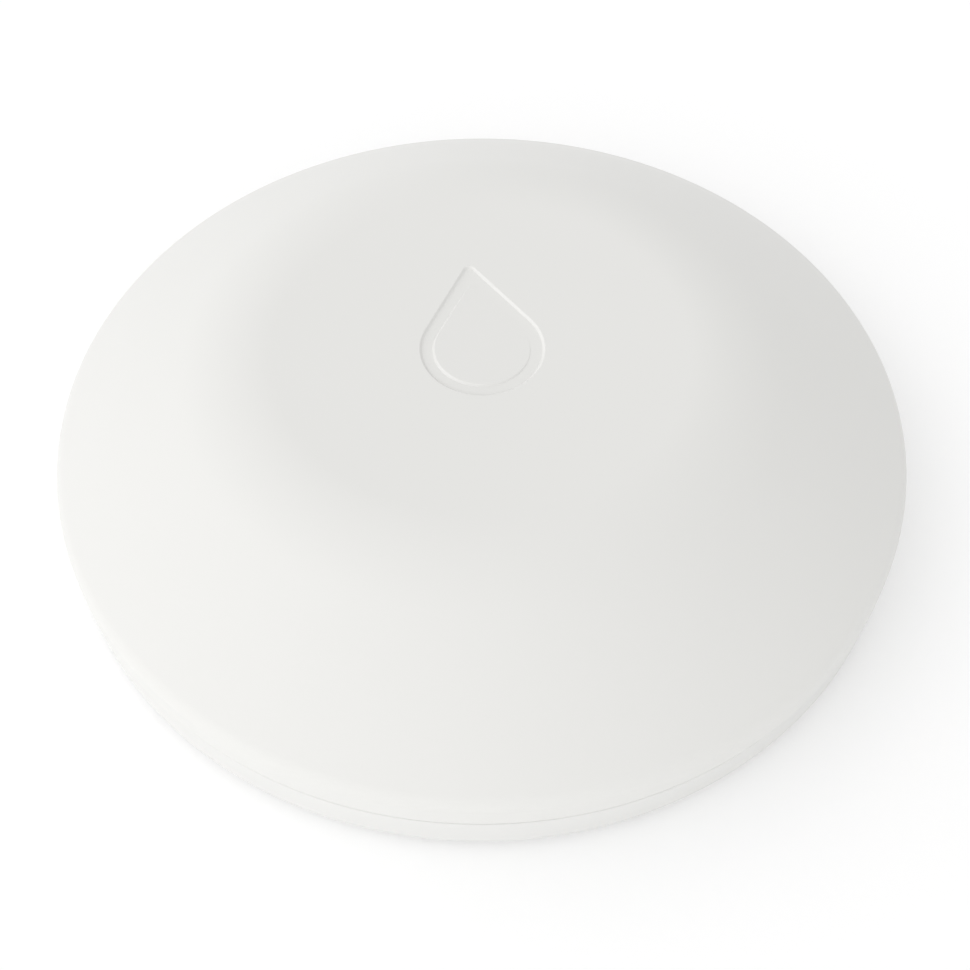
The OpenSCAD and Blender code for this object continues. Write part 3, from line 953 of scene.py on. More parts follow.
@dataclass(frozen=True)
class ClearGuide:
    """Clear acrylic, a little frosted where it was broken off its sprue."""

    name: str
    colour: Colour
    frost: float = 1.2 * MM
    frost_detail: float = 4.0
    frost_tone: float = 0.96
    smoothest: float = 0.05
    roughest: float = 0.25
    clearness: float = 0.9
    refraction: float = 1.49

    def material(self) -> bpy.types.Material:
        """Make the finish.

        Returns:
            Its new material.
        """
        sheet = ShaderSheet(self.name)
        frost = sheet.noise(self.frost, self.frost_detail, sheet.place())
        sheet.colour(sheet.tint(frost, shaded(self.colour, self.frost_tone), self.colour))
        sheet.roughness(sheet.between(frost, self.smoothest, self.roughest))
        sheet.shader.inputs["Transmission Weight"].default_value = self.clearness
        sheet.shader.inputs["IOR"].default_value = self.refraction
        return sheet.material


@dataclass(frozen=True)
class VentCloth:
    """Pressed vent membrane with a fine weave."""

    name: str
    colour: Colour
    roughness: float = 0.85
    thread: float = 0.12 * MM
    thread_depth: float = 0.02 * MM
    thread_strength: float = 0.7
    wobble: float = 0.3
    gap_tone: float = 0.6

    def material(self) -> bpy.types.Material:
        """Make the finish.

        Returns:
            Its new material.
        """
        sheet = ShaderSheet(self.name)
        place = sheet.place()
        threads = []
        for way in ("X", "Y"):
            wave = sheet.add(
                "ShaderNodeTexWave",
                bands_direction=way,
                Scale=WAVE_LENGTH / self.thread,
                Distortion=self.wobble,
            )
            sheet.join(place, wave.inputs["Vector"])
            threads.append(wave.outputs["Fac"])
        weave = sheet.reckoned(Reckoning.LARGER, *threads)
        sheet.colour(sheet.tint(weave, shaded(self.colour, self.gap_tone), self.colour))
        sheet.relief(weave, self.thread_depth, self.thread_strength)
        sheet.shader.inputs["Roughness"].default_value = self.roughness
        return sheet.material


Plastic = MouldedPlastic | CastBody | ClearGuide
Metal = TurnedMetal | SheetMetal
Finish = Plastic | Metal | SealRubber | BoardLacquer | VentCloth

COVER_WHITE = MouldedPlastic("cover_white", (0.775, 0.772, 0.752))
BASE_WHITE = MouldedPlastic("base_white", (0.775, 0.773, 0.757), roughness=0.52)
BUTTON_GREY = MouldedPlastic("button_grey", (0.48, 0.49, 0.50), roughness=0.45)
PLUNGER_WHITE = MouldedPlastic("plunger_white", (0.68, 0.68, 0.66), roughness=0.4)
SEAL_BLACK = SealRubber("seal_black", (0.028, 0.028, 0.03))
GASKET_GREY = SealRubber("gasket_grey", (0.5, 0.5, 0.49))
FOOT_STEEL = TurnedMetal("foot_steel", (0.66, 0.66, 0.66))
SCREW_ZINC = TurnedMetal("screw_zinc", (0.52, 0.52, 0.53), roughness=0.34, ring=0.2 * MM)
POST_BRASS = SheetMetal("post_brass", (0.66, 0.46, 0.16))
CELL_NICKEL = SheetMetal("cell_nickel", (0.60, 0.59, 0.56), roughness=0.24)
SPRING_BRONZE = SheetMetal("spring_bronze", (0.64, 0.50, 0.26))
TINNED_SHEET = SheetMetal("tinned_sheet", (0.56, 0.56, 0.56))
BARE_COPPER = SheetMetal("bare_copper", (0.66, 0.31, 0.14))
GREEN_LACQUER = BoardLacquer("green_lacquer", (0.012, 0.07, 0.03), (0.03, 0.13, 0.06))
BLUE_LACQUER = BoardLacquer("blue_lacquer", (0.012, 0.03, 0.09), (0.03, 0.07, 0.16), cell=1.1 * MM)
BLACK_RESIN = CastBody("black_resin", (0.022, 0.022, 0.024))
DARK_FERRITE = CastBody("dark_ferrite", (0.05, 0.05, 0.052), roughness=0.6)
YELLOW_RESIN = CastBody("yellow_resin", (0.55, 0.26, 0.03), roughness=0.35)
TAN_CERAMIC = CastBody("tan_ceramic", (0.32, 0.21, 0.12), roughness=0.45)
LAMP_RESIN = CastBody("lamp_resin", (0.78, 0.74, 0.5), roughness=0.2, contrast=0.04)
CLEAR_ACRYLIC = ClearGuide("clear_acrylic", (0.9, 0.92, 0.92))
VENT_BLACK = VentCloth("vent_cloth", (0.05, 0.05, 0.055))


def finished_piece(
    name: str,
    mesh: BMesh,
    body: Body,
    nodes: Iterable[str],
    material: bpy.types.Material,
) -> bpy.types.Object:
    """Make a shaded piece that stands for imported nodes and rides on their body.

    Args:
        name: Name of the piece.
        mesh: Its shape, used up.
        body: The body that it moves with.
        nodes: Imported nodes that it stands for.
        material: Its finish.

    Returns:
        The finished piece.
    """
    bmesh.ops.remove_doubles(mesh, verts=mesh.verts[:], dist=CLEAN)
    bmesh.ops.dissolve_degenerate(mesh, edges=mesh.edges[:], dist=CLEAN)
    for face in mesh.faces:
        face.smooth = True
    for edge in mesh.edges:
        edge.smooth = edge.calc_face_angle(0.0) < SHARP_ANGLE
    piece = loose_object(name, mesh)
    piece.data.materials.append(material)
    shading = piece.modifiers.new("even_shading", "WEIGHTED_NORMAL")
    shading.keep_sharp = True
    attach(piece, body.value)
    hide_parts(*nodes)
    faces = len(piece.data.polygons)
    LOG.info("%s: %d faces on %s, stands for %s", name, faces, body.value, ", ".join(nodes))
    return piece


def lathe_marks(mesh: BMesh) -> BMesh:
    """Note each point's place from its own axis, which the turned finish reads.

    Args:
        mesh: A shape that still stands on the axis it is turned on.

    Returns:
        The same shape.
    """
    layer = mesh.verts.layers.float_vector.new(LATHE)
    for vert in mesh.verts:
        vert[layer] = vert.co
    return mesh


@dataclass(frozen=True)
class SoftSlope:
    """Half section of a low slope: rounded off at the top, straight, and hollowed at the foot."""

    drop: float
    lean: float
    rounding: float

    @property
    def straight(self) -> float:
        """Run of the straight stretch."""
        turn = math.radians(self.lean)
        return (self.drop - 2 * self.rounding * (1 - math.cos(turn))) / math.tan(turn)

    @property
    def run(self) -> float:
        """Run of the whole slope."""
        return self.straight + 2 * self.rounding * math.sin(math.radians(self.lean))

    def points(self) -> list[Span]:
        """Give the slope's points from its top down.

        Returns:
            Distance from the middle of the slope and depth of each point.
        """
        turns = [math.radians(self.lean) * step / LIP_STEPS for step in range(LIP_STEPS + 1)]
        top = [(self.rounding * math.sin(turn), self.rounding * (1 - math.cos(turn))) for turn in turns]
        foot = [(self.run - run, self.drop - drop) for run, drop in reversed(top)]
        return [(run - self.run / 2, drop) for run, drop in top + foot]


@dataclass
class DropFigure:
    """The drop on the flat top: a shallow channel between a pointed outline and its island."""

    top_z: float
    front: float = 0.55 * MM
    bulb_r: float = 5.5 * MM
    point: float = 10.2 * MM
    tip_r: float = 0.5 * MM
    least_tip_r: float = 0.2 * MM
    width: float = 1.1 * MM
    lift: float = 0.003 * MM
    sink: float = 0.2 * MM
    sink_turn: float = 30.0
    bank: SoftSlope = SoftSlope(0.2 * MM, 46.0, 0.18 * MM)
    bulb_steps: int = 120
    flank_steps: int = 48
    tip_steps: int = 40

    @property
    def steps(self) -> int:
        """Points in one outline."""
        return self.bulb_steps + 2 * self.flank_steps + self.tip_steps

    @property
    def lean(self) -> float:
        """Angle of the straight flanks from the drop's axis."""
        return math.asin((self.bulb_r - self.tip_r) / (self.point - self.tip_r))

    def outline(self, mesh: BMesh, inset: float, z: float) -> list[BMEdge]:
        """Draw the drop's outline, moved in by a distance.

        Args:
            mesh: The shape that gets the outline.
            inset: Distance from the channel's outer wall.
            z: Height of the outline.

        Returns:
            The edges of the closed outline.
        """
        bulb = self.bulb_r - inset
        tip = max(self.tip_r - inset, self.least_tip_r)
        reach = (bulb - tip) / math.sin(self.lean) - self.front
        side_x = math.cos(self.lean)
        side_y = math.sin(self.lean)
        lean = math.degrees(self.lean)
        loop = PlanLoop(mesh, bulb * side_x, bulb * side_y - self.front, z)
        loop.line(tip * side_x, reach + tip * side_y, self.flank_steps)
        loop.arc(0.0, reach, HALF_DEGREES - 2 * lean, self.tip_steps)
        loop.line(-bulb * side_x, bulb * side_y - self.front, self.flank_steps)
        drawn = self.bulb_steps - 1
        loop.arc(0.0, -self.front, (HALF_DEGREES + 2 * lean) * drawn / self.bulb_steps, drawn)
        return loop.closed()

    def solid(self, section: list[Span]) -> BMesh:
        """Make a closed drop-shaped shape.

        Args:
            section: Inset and depth under the flat top of each outline, in order of height.

        Returns:
            The shape in its place.
        """
        mesh = bmesh.new()
        loops = [self.outline(mesh, inset, self.top_z - depth) for inset, depth in section]
        return stacked(mesh, loops)

    def plug(self) -> BMesh:
        """Make the cutter inside the channel's outer wall, lifted a little to cross the flat top.

        Returns:
            The closed cutter.
        """
        slope = self.bank.points()
        over = (slope[0][0], -self.bank.rounding)
        return self.solid([over] + [(inset, depth - self.lift) for inset, depth in slope])

    def island(self) -> BMesh:
        """Make the island inside the channel, rooted under its floor and sinking to it one way.

        Returns:
            The closed shape.
        """
        slope = [(self.width - run, depth) for run, depth in reversed(self.bank.points())]
        root = (slope[0][0], self.bank.drop + self.bank.rounding)
        made = self.solid([root] + slope)
        way = level_way(self.sink_turn)
        reach = [vert.co.dot(way) for vert in made.verts]
        fall = self.sink / (max(reach) - min(reach))
        tilt = Matrix.Identity(4)
        tilt[2][0] = -fall * way.x
        tilt[2][1] = -fall * way.y
        tilt[2][3] = fall * min(reach)
        bmesh.ops.transform(made, matrix=tilt, verts=made.verts)
        return made


@dataclass
class Piece:
    """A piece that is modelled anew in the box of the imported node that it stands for."""

    name: ClassVar[str]
    body: ClassVar[Body]
    material_slot: ClassVar[str]
    node: ClassVar[str]
    finish: ClassVar[Finish]
    low: Vector
    high: Vector

    def shape(self) -> BMesh:
        """Make the closed shape, which every kind of piece does in its own way."""
        raise NotImplementedError

    def build(self) -> bpy.types.Object:
        """Make and dress the piece.

        Returns:
            The finished piece.
        """
        return finished_piece(
            self.name,
            self.shape(),
            self.body,
            [self.node],
            self.finish.material(),
        )


@dataclass
class TopCover(Piece):
    """The white cover: flat top with the drop, soft shoulder, bulged skirt and rounded rim."""

    name: ClassVar[str] = "cover"
    body: ClassVar[Body] = Body.HOUSING
    material_slot: ClassVar[str] = "cover_plastic"
    node: ClassVar[str] = "top_cover"
    finish: ClassVar[Finish] = COVER_WHITE
    wall: float = 2.0 * MM
    flat_r: float = 18.8 * MM
    shoulder_r: float = 18.5 * MM
    shoulder_turn: float = 27.0
    skirt_r: float = 95.0 * MM
    rim_fillet: float = 2.0 * MM
    rim_land: float = 2.0 * MM
    edge: float = 0.18 * MM
    pocket_r: float = 6.05 * MM
    pocket: float = 0.5 * MM
    boss_r: float = 2.6 * MM
    boss_hole_r: float = 1.15 * MM
    boss_circle_r: float = 33.2 * MM
    boss_z: float = 6.0 * MM
    boss_hole_z: float = 9.5 * MM
    shoulder_steps: int = 18
    skirt_steps: int = 14
    rim_steps: int = 14
    inner_steps: int = 10
    boss_steps: int = 48

    @property
    def girth_z(self) -> float:
        """Height of the widest line."""
        return self.low.z + self.rim_land

    @property
    def shoulder_z(self) -> float:
        """Height of the middle of the shoulder's arc."""
        return self.high.z - self.shoulder_r

    @property
    def skirt_middle(self) -> Span:
        """Middle of the skirt's arc in the half section.

        Returns:
            Its distance from the axis and its height.
        """
        turn = math.radians(self.shoulder_turn)
        span = self.skirt_r - self.shoulder_r
        return self.flat_r - span * math.sin(turn), self.shoulder_z - span * math.cos(turn)

    @property
    def rim_turn(self) -> float:
        """Angle in degrees at which the skirt runs into the rim's rounding."""
        across = self.high.x - self.rim_fillet - self.skirt_middle[0]
        return math.degrees(math.asin(across / (self.skirt_r - self.rim_fillet)))

    def outer_stretch(self, section: HalfSection) -> HalfSection:
        """Draw shoulder, skirt and rim from the flat top down to the widest line.

        Args:
            section: A section that has come to the edge of the flat top, or to a line inside it.

        Returns:
            The same section.
        """
        section.arc(self.flat_r, self.shoulder_z, self.shoulder_turn, self.shoulder_steps)
        section.arc(*self.skirt_middle, self.rim_turn - self.shoulder_turn, self.skirt_steps)
        rim_x = self.high.x - self.rim_fillet
        return section.arc(rim_x, self.girth_z, QUARTER_DEGREES - self.rim_turn, self.rim_steps)

    def shell(self, steps: int) -> BMesh:
        """Turn the cover's wall and its flat top.

        Args:
            steps: Pieces round the axis.

        Returns:
            The closed shape.
        """
        in_r = self.high.x - self.wall
        skirt_x, skirt_z = self.skirt_middle
        in_skirt_r = self.skirt_r - self.wall
        corner_turn = math.degrees(math.asin((in_r - skirt_x) / in_skirt_r))
        corner_z = skirt_z + in_skirt_r * math.cos(math.radians(corner_turn))
        roof_z = self.high.z - self.wall
        section = HalfSection(0.0, self.high.z)
        section.line(self.flat_r, self.high.z)
        self.outer_stretch(section)
        section.line(self.high.x, self.low.z + self.edge)
        section.arc(self.high.x - self.edge, self.low.z + self.edge, QUARTER_DEGREES, LIP_STEPS)
        section.line(in_r + self.edge, self.low.z)
        section.arc(in_r + self.edge, self.low.z + self.edge, QUARTER_DEGREES, LIP_STEPS)
        section.line(in_r, corner_z)
        section.arc(skirt_x, skirt_z, self.shoulder_turn - corner_turn, self.inner_steps)
        section.arc(self.flat_r, self.shoulder_z, -self.shoulder_turn, self.inner_steps)
        section.line(self.pocket_r, roof_z)
        section.line(self.pocket_r, roof_z + self.pocket)
        section.line(0.0, roof_z + self.pocket)
        return section.turned(steps)

    def bosses(self) -> BMesh:
        """Make the screw bosses, cut off halfway through the cover's wall.

        Returns:
            The closed bosses in one shape.
        """
        section = HalfSection(0.0, self.boss_hole_z)
        section.line(self.boss_hole_r, self.boss_hole_z)
        section.line(self.boss_hole_r, self.boss_z)
        section.line(self.boss_r, self.boss_z)
        section.line(self.boss_r, self.high.z)
        section.line(0.0, self.high.z)
        boss = section.turned(self.boss_steps)
        posts = set_round(boss, self.boss_circle_r, SCREW_START, SET_COUNT)
        inset = self.wall / 2
        room = HalfSection(0.0, self.high.z - inset)
        room.line(self.flat_r, self.high.z - inset)
        self.outer_stretch(room)
        room.line(self.high.x - inset, self.low.z)
        room.line(0.0, self.low.z)
        return carved(posts, room.turned(TURNED_STEPS), Carving.KEEP_COMMON)

    def shape(self) -> BMesh:
        """Join wall and bosses, cut the drop's channel and set the island into it.

        Returns:
            The closed shape.
        """
        drop = DropFigure(self.high.z)
        whole = carved(self.shell(drop.steps), self.bosses(), Carving.JOIN)
        whole = carved(whole, drop.plug(), Carving.CUT)
        return carved(whole, drop.island(), Carving.JOIN)


@dataclass
class BaseShell(Piece):
    """The base: outer wall, underside with its holes, and the seat of the battery door."""

    name: ClassVar[str] = "base"
    body: ClassVar[Body] = Body.HOUSING
    material_slot: ClassVar[str] = "base_plastic"
    node: ClassVar[str] = "base_shell"
    finish: ClassVar[Finish] = BASE_WHITE
    seam_z: float
    screw_circle_r: float
    foot_circle_r: float
    button_x: float
    sound_x: float
    wall_r: float = 39.9 * MM
    draft: float = 0.1 * MM
    edge: float = 0.35 * MM
    lip: float = 0.15 * MM
    floor: float = 2.0 * MM
    spigot_r: float = 37.8 * MM
    spigot_in_r: float = 36.2 * MM
    seat_r: float = 19.0 * MM
    seat_out_r: float = 21.0 * MM
    seat_depth: float = 1.8 * MM
    bore_r: float = 14.8 * MM
    ledge: float = 1.6 * MM
    lock_r: float = 16.2 * MM
    well_r: float = 17.8 * MM
    spigot_z: float = 6.6 * MM
    pillar_r: float = 3.2 * MM
    pillar_z: float = 6.0 * MM
    pad_r: float = 3.0 * MM
    pad_z: float = 3.6 * MM
    rib_z: float = 5.6 * MM
    screw_recess_r: float = 2.3 * MM
    screw_recess: float = 1.8 * MM
    screw_hole_r: float = 1.15 * MM
    foot_recess_r: float = 2.2 * MM
    foot_recess: float = 0.93 * MM
    foot_hole_r: float = 1.25 * MM
    button_hole_r: float = 2.6 * MM
    sound_hole_r: float = 0.65 * MM
    sound_ring_r: float = 2.6 * MM
    sound_ring_count: int = 6
    notch_play: float = 0.1 * MM
    edge_steps: int = 8
    rib_steps: int = 6
    notch_steps: int = 12

    @property
    def ledge_z(self) -> float:
        """Height of the ledge that the door's lugs lock on."""
        return self.low.z + self.seat_depth + self.ledge

    def wall(self) -> BMesh:
        """Turn the base's section with its rounded edges.

        Returns:
            The closed ring.
        """
        base_z = self.low.z
        floor_z = base_z + self.floor
        seat_z = base_z + self.seat_depth
        low_r = self.wall_r - self.draft
        section = HalfSection(self.bore_r, seat_z)
        section.line(self.seat_r, seat_z)
        section.line(self.seat_r, base_z + self.lip)
        section.arc(self.seat_r + self.lip, base_z + self.lip, -QUARTER_DEGREES, LIP_STEPS)
        section.line(low_r - self.edge, base_z)
        section.arc(low_r - self.edge, base_z + self.edge, -QUARTER_DEGREES, self.edge_steps)
        section.line(self.wall_r, self.seam_z - self.lip)
        section.arc(self.wall_r - self.lip, self.seam_z - self.lip, -QUARTER_DEGREES, LIP_STEPS)
        section.line(self.spigot_r, self.seam_z)
        section.line(self.spigot_r, self.spigot_z)
        section.line(self.spigot_in_r, self.spigot_z)
        section.line(self.spigot_in_r, floor_z)
        section.line(self.seat_out_r, floor_z)
        section.line(self.seat_out_r, self.ledge_z)
        section.line(self.well_r, self.ledge_z)
        section.line(self.well_r, self.high.z)
        section.line(self.lock_r, self.high.z)
        section.line(self.lock_r, self.ledge_z)
        section.line(self.bore_r, self.ledge_z)
        return section.closed().turned(RING_STEPS)

    def added(self) -> BMesh:
        """Make what stands on the floor inside: pillars, foot pads and the door's stop ribs.

        Returns:
            All of them in one shape.
        """
        middle_z = self.low.z + self.floor / 2
        pillar = disc(self.pillar_r, middle_z, self.pillar_z, HOLE_STEPS)
        pad = disc(self.pad_r, middle_z, self.pad_z, HOLE_STEPS)
        parts = [
            set_round(pillar, self.screw_circle_r, SCREW_START, SET_COUNT),
            set_round(pad, self.foot_circle_r, FOOT_START, SET_COUNT),
        ]
        radii = (self.bore_r, (self.lock_r + self.well_r) / 2)
        heights = (self.ledge_z - self.ledge / 2, self.rib_z)
        for start in RIB_STARTS:
            parts.append(ring_parts(radii, heights, start, RIB_ARC, self.rib_steps))
        return gathered(parts)

    def hole(self, stages: list[Span], steps: int) -> BMesh:
        """Make a cutter for a hole in the underside, still on the Z axis."""
        return hole_tool(self.low.z, stages, self.lip, steps)

    def removed(self) -> BMesh:
        """Make the cutters of all holes, recesses and notches.

        Returns:
            All of them in one shape.
        """
        base_z = self.low.z
        through = self.pillar_z + self.floor
        screw = [(self.screw_recess_r, base_z + self.screw_recess), (self.screw_hole_r, through)]
        foot = [(self.foot_recess_r, base_z + self.foot_recess), (self.foot_hole_r, through)]
        button = [(self.button_hole_r, through)]
        sound = [(self.sound_hole_r, through)]
        mark = [(MARK_R, base_z + MARK_DEPTH)]
        parts = [
            set_round(self.hole(screw, HOLE_STEPS), self.screw_circle_r, SCREW_START, SET_COUNT),
            set_round(self.hole(foot, HOLE_STEPS), self.foot_circle_r, FOOT_START, SET_COUNT),
            set_round(self.hole(button, HOLE_STEPS), self.button_x, 0.0, 1),
            set_round(self.hole(sound, SMALL_HOLE_STEPS), self.sound_x, 0.0, 1),
        ]
        outer_sound = self.hole(sound, SMALL_HOLE_STEPS)
        ring = set_round(outer_sound, self.sound_ring_r, 0.0, self.sound_ring_count)
        parts.append(set_round(ring, self.sound_x, 0.0, 1))
        mark_circle_r = (self.seat_r + self.seat_out_r) / 2
        for angle in (LUG_START, LUG_START - DOOR_TURN):
            parts.append(set_round(self.hole(mark, SMALL_HOLE_STEPS), mark_circle_r, angle, 1))
        radii = (self.bore_r - self.lip, self.lock_r - self.notch_play)
        heights = (base_z + self.lip, self.ledge_z + self.lip)
        start = LUG_START - DOOR_TURN - NOTCH_ARC / 2
        parts.append(ring_parts(radii, heights, start, NOTCH_ARC, self.notch_steps))
        return gathered(parts)

    def shape(self) -> BMesh:
        """Join what stands on the floor to the wall, then cut the holes.

        Returns:
            The closed shape.
        """
        whole = carved(self.wall(), self.added(), Carving.JOIN)
        return carved(whole, self.removed(), Carving.CUT)


@dataclass
class BatteryDoor(Piece):
    """The round door in the underside, with its coin slot, cup and bayonet lugs."""

    name: ClassVar[str] = "door"
    body: ClassVar[Body] = Body.DOOR
    material_slot: ClassVar[str] = "base_plastic"
    node: ClassVar[str] = "battery_door"
    finish: ClassVar[Finish] = BASE_WHITE
    flange: float = 1.5 * MM
    edge: float = 0.25 * MM
    groove_r: float = 17.5 * MM
    groove_w: float = 1.1 * MM
    groove_depth: float = 0.83 * MM
    plug_r: float = 14.6 * MM
    cup_r: float = 12.6 * MM
    lug_r: float = 16.0 * MM
    lug_z: float = 4.3 * MM
    lug_h: float = 1.2 * MM
    lug_arc: float = 24.0
    slot: SlotTool = SlotTool(22 * MM, 2.2 * MM, 0.8 * MM, 0.4 * MM, 0.2 * MM)
    mark_lip: float = 0.15 * MM
    edge_steps: int = 6
    lug_steps: int = 12

    def cup(self) -> BMesh:
        """Turn the door's plate, flange and cup.

        Returns:
            The closed shape.
        """
        flange_r = self.high.x
        flange_z = self.low.z + self.flange
        groove_z = flange_z - self.groove_depth
        groove_in = self.groove_r - self.groove_w / 2
        groove_out = self.groove_r + self.groove_w / 2
        section = HalfSection(0.0, self.low.z).line(flange_r - self.edge, self.low.z)
        section.arc(flange_r - self.edge, self.low.z + self.edge, -QUARTER_DEGREES, self.edge_steps)
        section.line(flange_r, flange_z).line(groove_out, flange_z)
        section.line(groove_out, groove_z).line(groove_in, groove_z)
        section.line(groove_in, flange_z).line(self.plug_r, flange_z)
        section.line(self.plug_r, self.high.z).line(self.cup_r, self.high.z)
        section.line(self.cup_r, flange_z).line(0.0, flange_z)
        return section.turned(RING_STEPS)

    def lugs(self) -> BMesh:
        """Make the bayonet lugs.

        Returns:
            The closed lugs in one shape.
        """
        radii = ((self.plug_r + self.cup_r) / 2, self.lug_r)
        heights = (self.lug_z, self.lug_z + self.lug_h)
        return ring_parts(radii, heights, LUG_START - self.lug_arc / 2, self.lug_arc, self.lug_steps)

    def shape(self) -> BMesh:
        """Join the lugs to the cup, then cut the coin slot and the mark.

        Returns:
            The closed shape.
        """
        whole = carved(self.cup(), self.lugs(), Carving.JOIN)
        stages = [(MARK_R, self.low.z + MARK_DEPTH)]
        mark = hole_tool(self.low.z, stages, self.mark_lip, SMALL_HOLE_STEPS)
        cuts = [self.slot.shape(self.low.z), set_round(mark, self.plug_r, LUG_START, 1)]
        return carved(whole, gathered(cuts), Carving.CUT)


@dataclass
class ContactFeet(Piece):
    """The three turned steel feet, which are also the water contacts."""

    name: ClassVar[str] = "feet"
    body: ClassVar[Body] = Body.HOUSING
    material_slot: ClassVar[str] = "foot_steel"
    node: ClassVar[str] = "contact_feet"
    finish: ClassVar[Finish] = FOOT_STEEL
    radius: float = 3.0 * MM
    height: float = 0.8 * MM
    edge: float = 0.5 * MM
    back_edge: float = 0.08 * MM
    shank_r: float = 1.2 * MM
    slot: SlotTool = SlotTool(8 * MM, 0.9 * MM, 0.4 * MM, 0.1 * MM, 0.06 * MM)
    edge_steps: int = 10
    back_steps: int = 4

    @property
    def circle_r(self) -> float:
        """Radius of the circle that the feet stand on."""
        return self.high.y - self.radius

    def shape(self) -> BMesh:
        """Turn a foot, cut its slot and repeat it.

        Returns:
            The closed feet in one shape.
        """
        section = HalfSection(0.0, self.low.z).line(self.radius - self.edge, self.low.z)
        section.arc(self.radius - self.edge, self.low.z + self.edge, -QUARTER_DEGREES, self.edge_steps)
        back_z = self.height - self.back_edge
        section.line(self.radius, back_z)
        section.arc(self.radius - self.back_edge, back_z, -QUARTER_DEGREES, self.back_steps)
        section.line(self.shank_r, self.height).line(self.shank_r, self.high.z)
        section.line(0.0, self.high.z)
        foot = carved(section.turned(TURNED_STEPS), self.slot.shape(self.low.z), Carving.CUT)
        return set_round(lathe_marks(foot), self.circle_r, FOOT_START, SET_COUNT)


@dataclass
class CoverScrews(Piece):
    """The three cross-recessed screws that hold cover and base together."""

    name: ClassVar[str] = "screws"
    body: ClassVar[Body] = Body.HOUSING
    material_slot: ClassVar[str] = "screw_steel"
    node: ClassVar[str] = "cover_screws"
    finish: ClassVar[Finish] = SCREW_ZINC
    head_r: float = 2.2 * MM
    head_h: float = 1.3 * MM
    head_edge: float = 0.45 * MM
    shank_r: float = 1.1 * MM
    cross: SlotTool = SlotTool(2.6 * MM, 0.6 * MM, 0.6 * MM, 0.12 * MM, 0.06 * MM)
    cross_turns: Span = (45.0, 135.0)
    edge_steps: int = 10

    @property
    def circle_r(self) -> float:
        """Radius of the circle that the screws stand on."""
        return -self.low.y - self.head_r

    def shape(self) -> BMesh:
        """Turn a screw, cut its cross and repeat it.

        Returns:
            The closed screws in one shape.
        """
        seat_z = self.low.z + self.head_h
        edge_r = self.head_r - self.head_edge
        section = HalfSection(0.0, self.low.z).line(edge_r, self.low.z)
        section.arc(edge_r, self.low.z + self.head_edge, -QUARTER_DEGREES, self.edge_steps)
        section.line(self.head_r, seat_z).line(self.shank_r, seat_z)
        section.line(self.shank_r, self.high.z).line(0.0, self.high.z)
        screw = section.turned(TURNED_STEPS)
        for angle in self.cross_turns:
            arm = swung(self.cross.shape(self.low.z), angle)
            screw = carved(screw, arm, Carving.CUT)
        return set_round(lathe_marks(screw), self.circle_r, SCREW_START, SET_COUNT)


@dataclass
class PairingButton(Piece):
    """The push button in the underside."""

    name: ClassVar[str] = "button"
    body: ClassVar[Body] = Body.BUTTON
    material_slot: ClassVar[str] = "button_plastic"
    node: ClassVar[str] = "pairing_button"
    finish: ClassVar[Finish] = BUTTON_GREY
    radius: float = 2.5 * MM
    edge: float = 0.3 * MM
    groove_z: float = 1.35 * MM
    groove_h: float = 0.9 * MM
    groove_r: float = 1.72 * MM
    collar_z: float = 2.9 * MM
    collar_h: float = 0.8 * MM
    stub_r: float = 1.6 * MM
    edge_steps: int = 8

    @property
    def middle_x(self) -> float:
        """Place of the button's axis along X."""
        return (self.low.x + self.high.x) / 2

    def shape(self) -> BMesh:
        """Turn the button and move it to its place.

        Returns:
            The closed shape.
        """
        collar_r = (self.high.x - self.low.x) / 2
        groove_top = self.groove_z + self.groove_h
        collar_top = self.collar_z + self.collar_h
        section = HalfSection(0.0, self.low.z).line(self.radius - self.edge, self.low.z)
        section.arc(self.radius - self.edge, self.low.z + self.edge, -QUARTER_DEGREES, self.edge_steps)
        section.line(self.radius, self.groove_z).line(self.groove_r, self.groove_z)
        section.line(self.groove_r, groove_top).line(self.radius, groove_top)
        section.line(self.radius, self.collar_z).line(collar_r, self.collar_z)
        section.line(collar_r, collar_top).line(self.stub_r, collar_top)
        section.line(self.stub_r, self.high.z).line(0.0, self.high.z)
        return set_round(section.turned(TURNED_STEPS), self.middle_x, 0.0, 1)


@dataclass
class InnerWorks:
    """Seals, battery, boards and sound parts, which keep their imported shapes."""

    nodes: dict[str, bpy.types.Object]

    def finishes(self) -> dict[Finish, list[str]]:
        """Pair each finish with its nodes.

        Returns:
            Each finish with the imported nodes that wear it.
        """
        return {
            GASKET_GREY: ["cover_gasket"],
            SEAL_BLACK: ["contact_seals", "door_seal", "button_seal"],
            POST_BRASS: ["contact_posts", "buzzer_disc"],
            CELL_NICKEL: ["battery_cell"],
            SPRING_BRONZE: ["battery_clip", "battery_leaf"],
            TINNED_SHEET: ["radio_shield", "chip_leads", "buzzer_pins"],
            BARE_COPPER: ["radio_antenna"],
            GREEN_LACQUER: ["circuit_board"],
            BLUE_LACQUER: ["radio_board"],
            BLACK_RESIN: ["driver_chip", "buzzer_case", "switch_case"],
            DARK_FERRITE: ["power_coil"],
            YELLOW_RESIN: ["storage_capacitor"],
            TAN_CERAMIC: ["chip_parts"],
            LAMP_RESIN: ["status_led"],
            CLEAR_ACRYLIC: ["light_guide"],
            VENT_BLACK: ["sound_membrane"],
            PLUNGER_WHITE: ["switch_plunger"],
        }

    def dress(self) -> None:
        """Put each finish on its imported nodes."""
        for finish, names in self.finishes().items():
            material = finish.material()
            for name in names:
                sheet = self.nodes[name].data
                sheet.materials.clear()
                sheet.materials.append(material)
            LOG.info("%s on %s", finish.name, ", ".join(names))


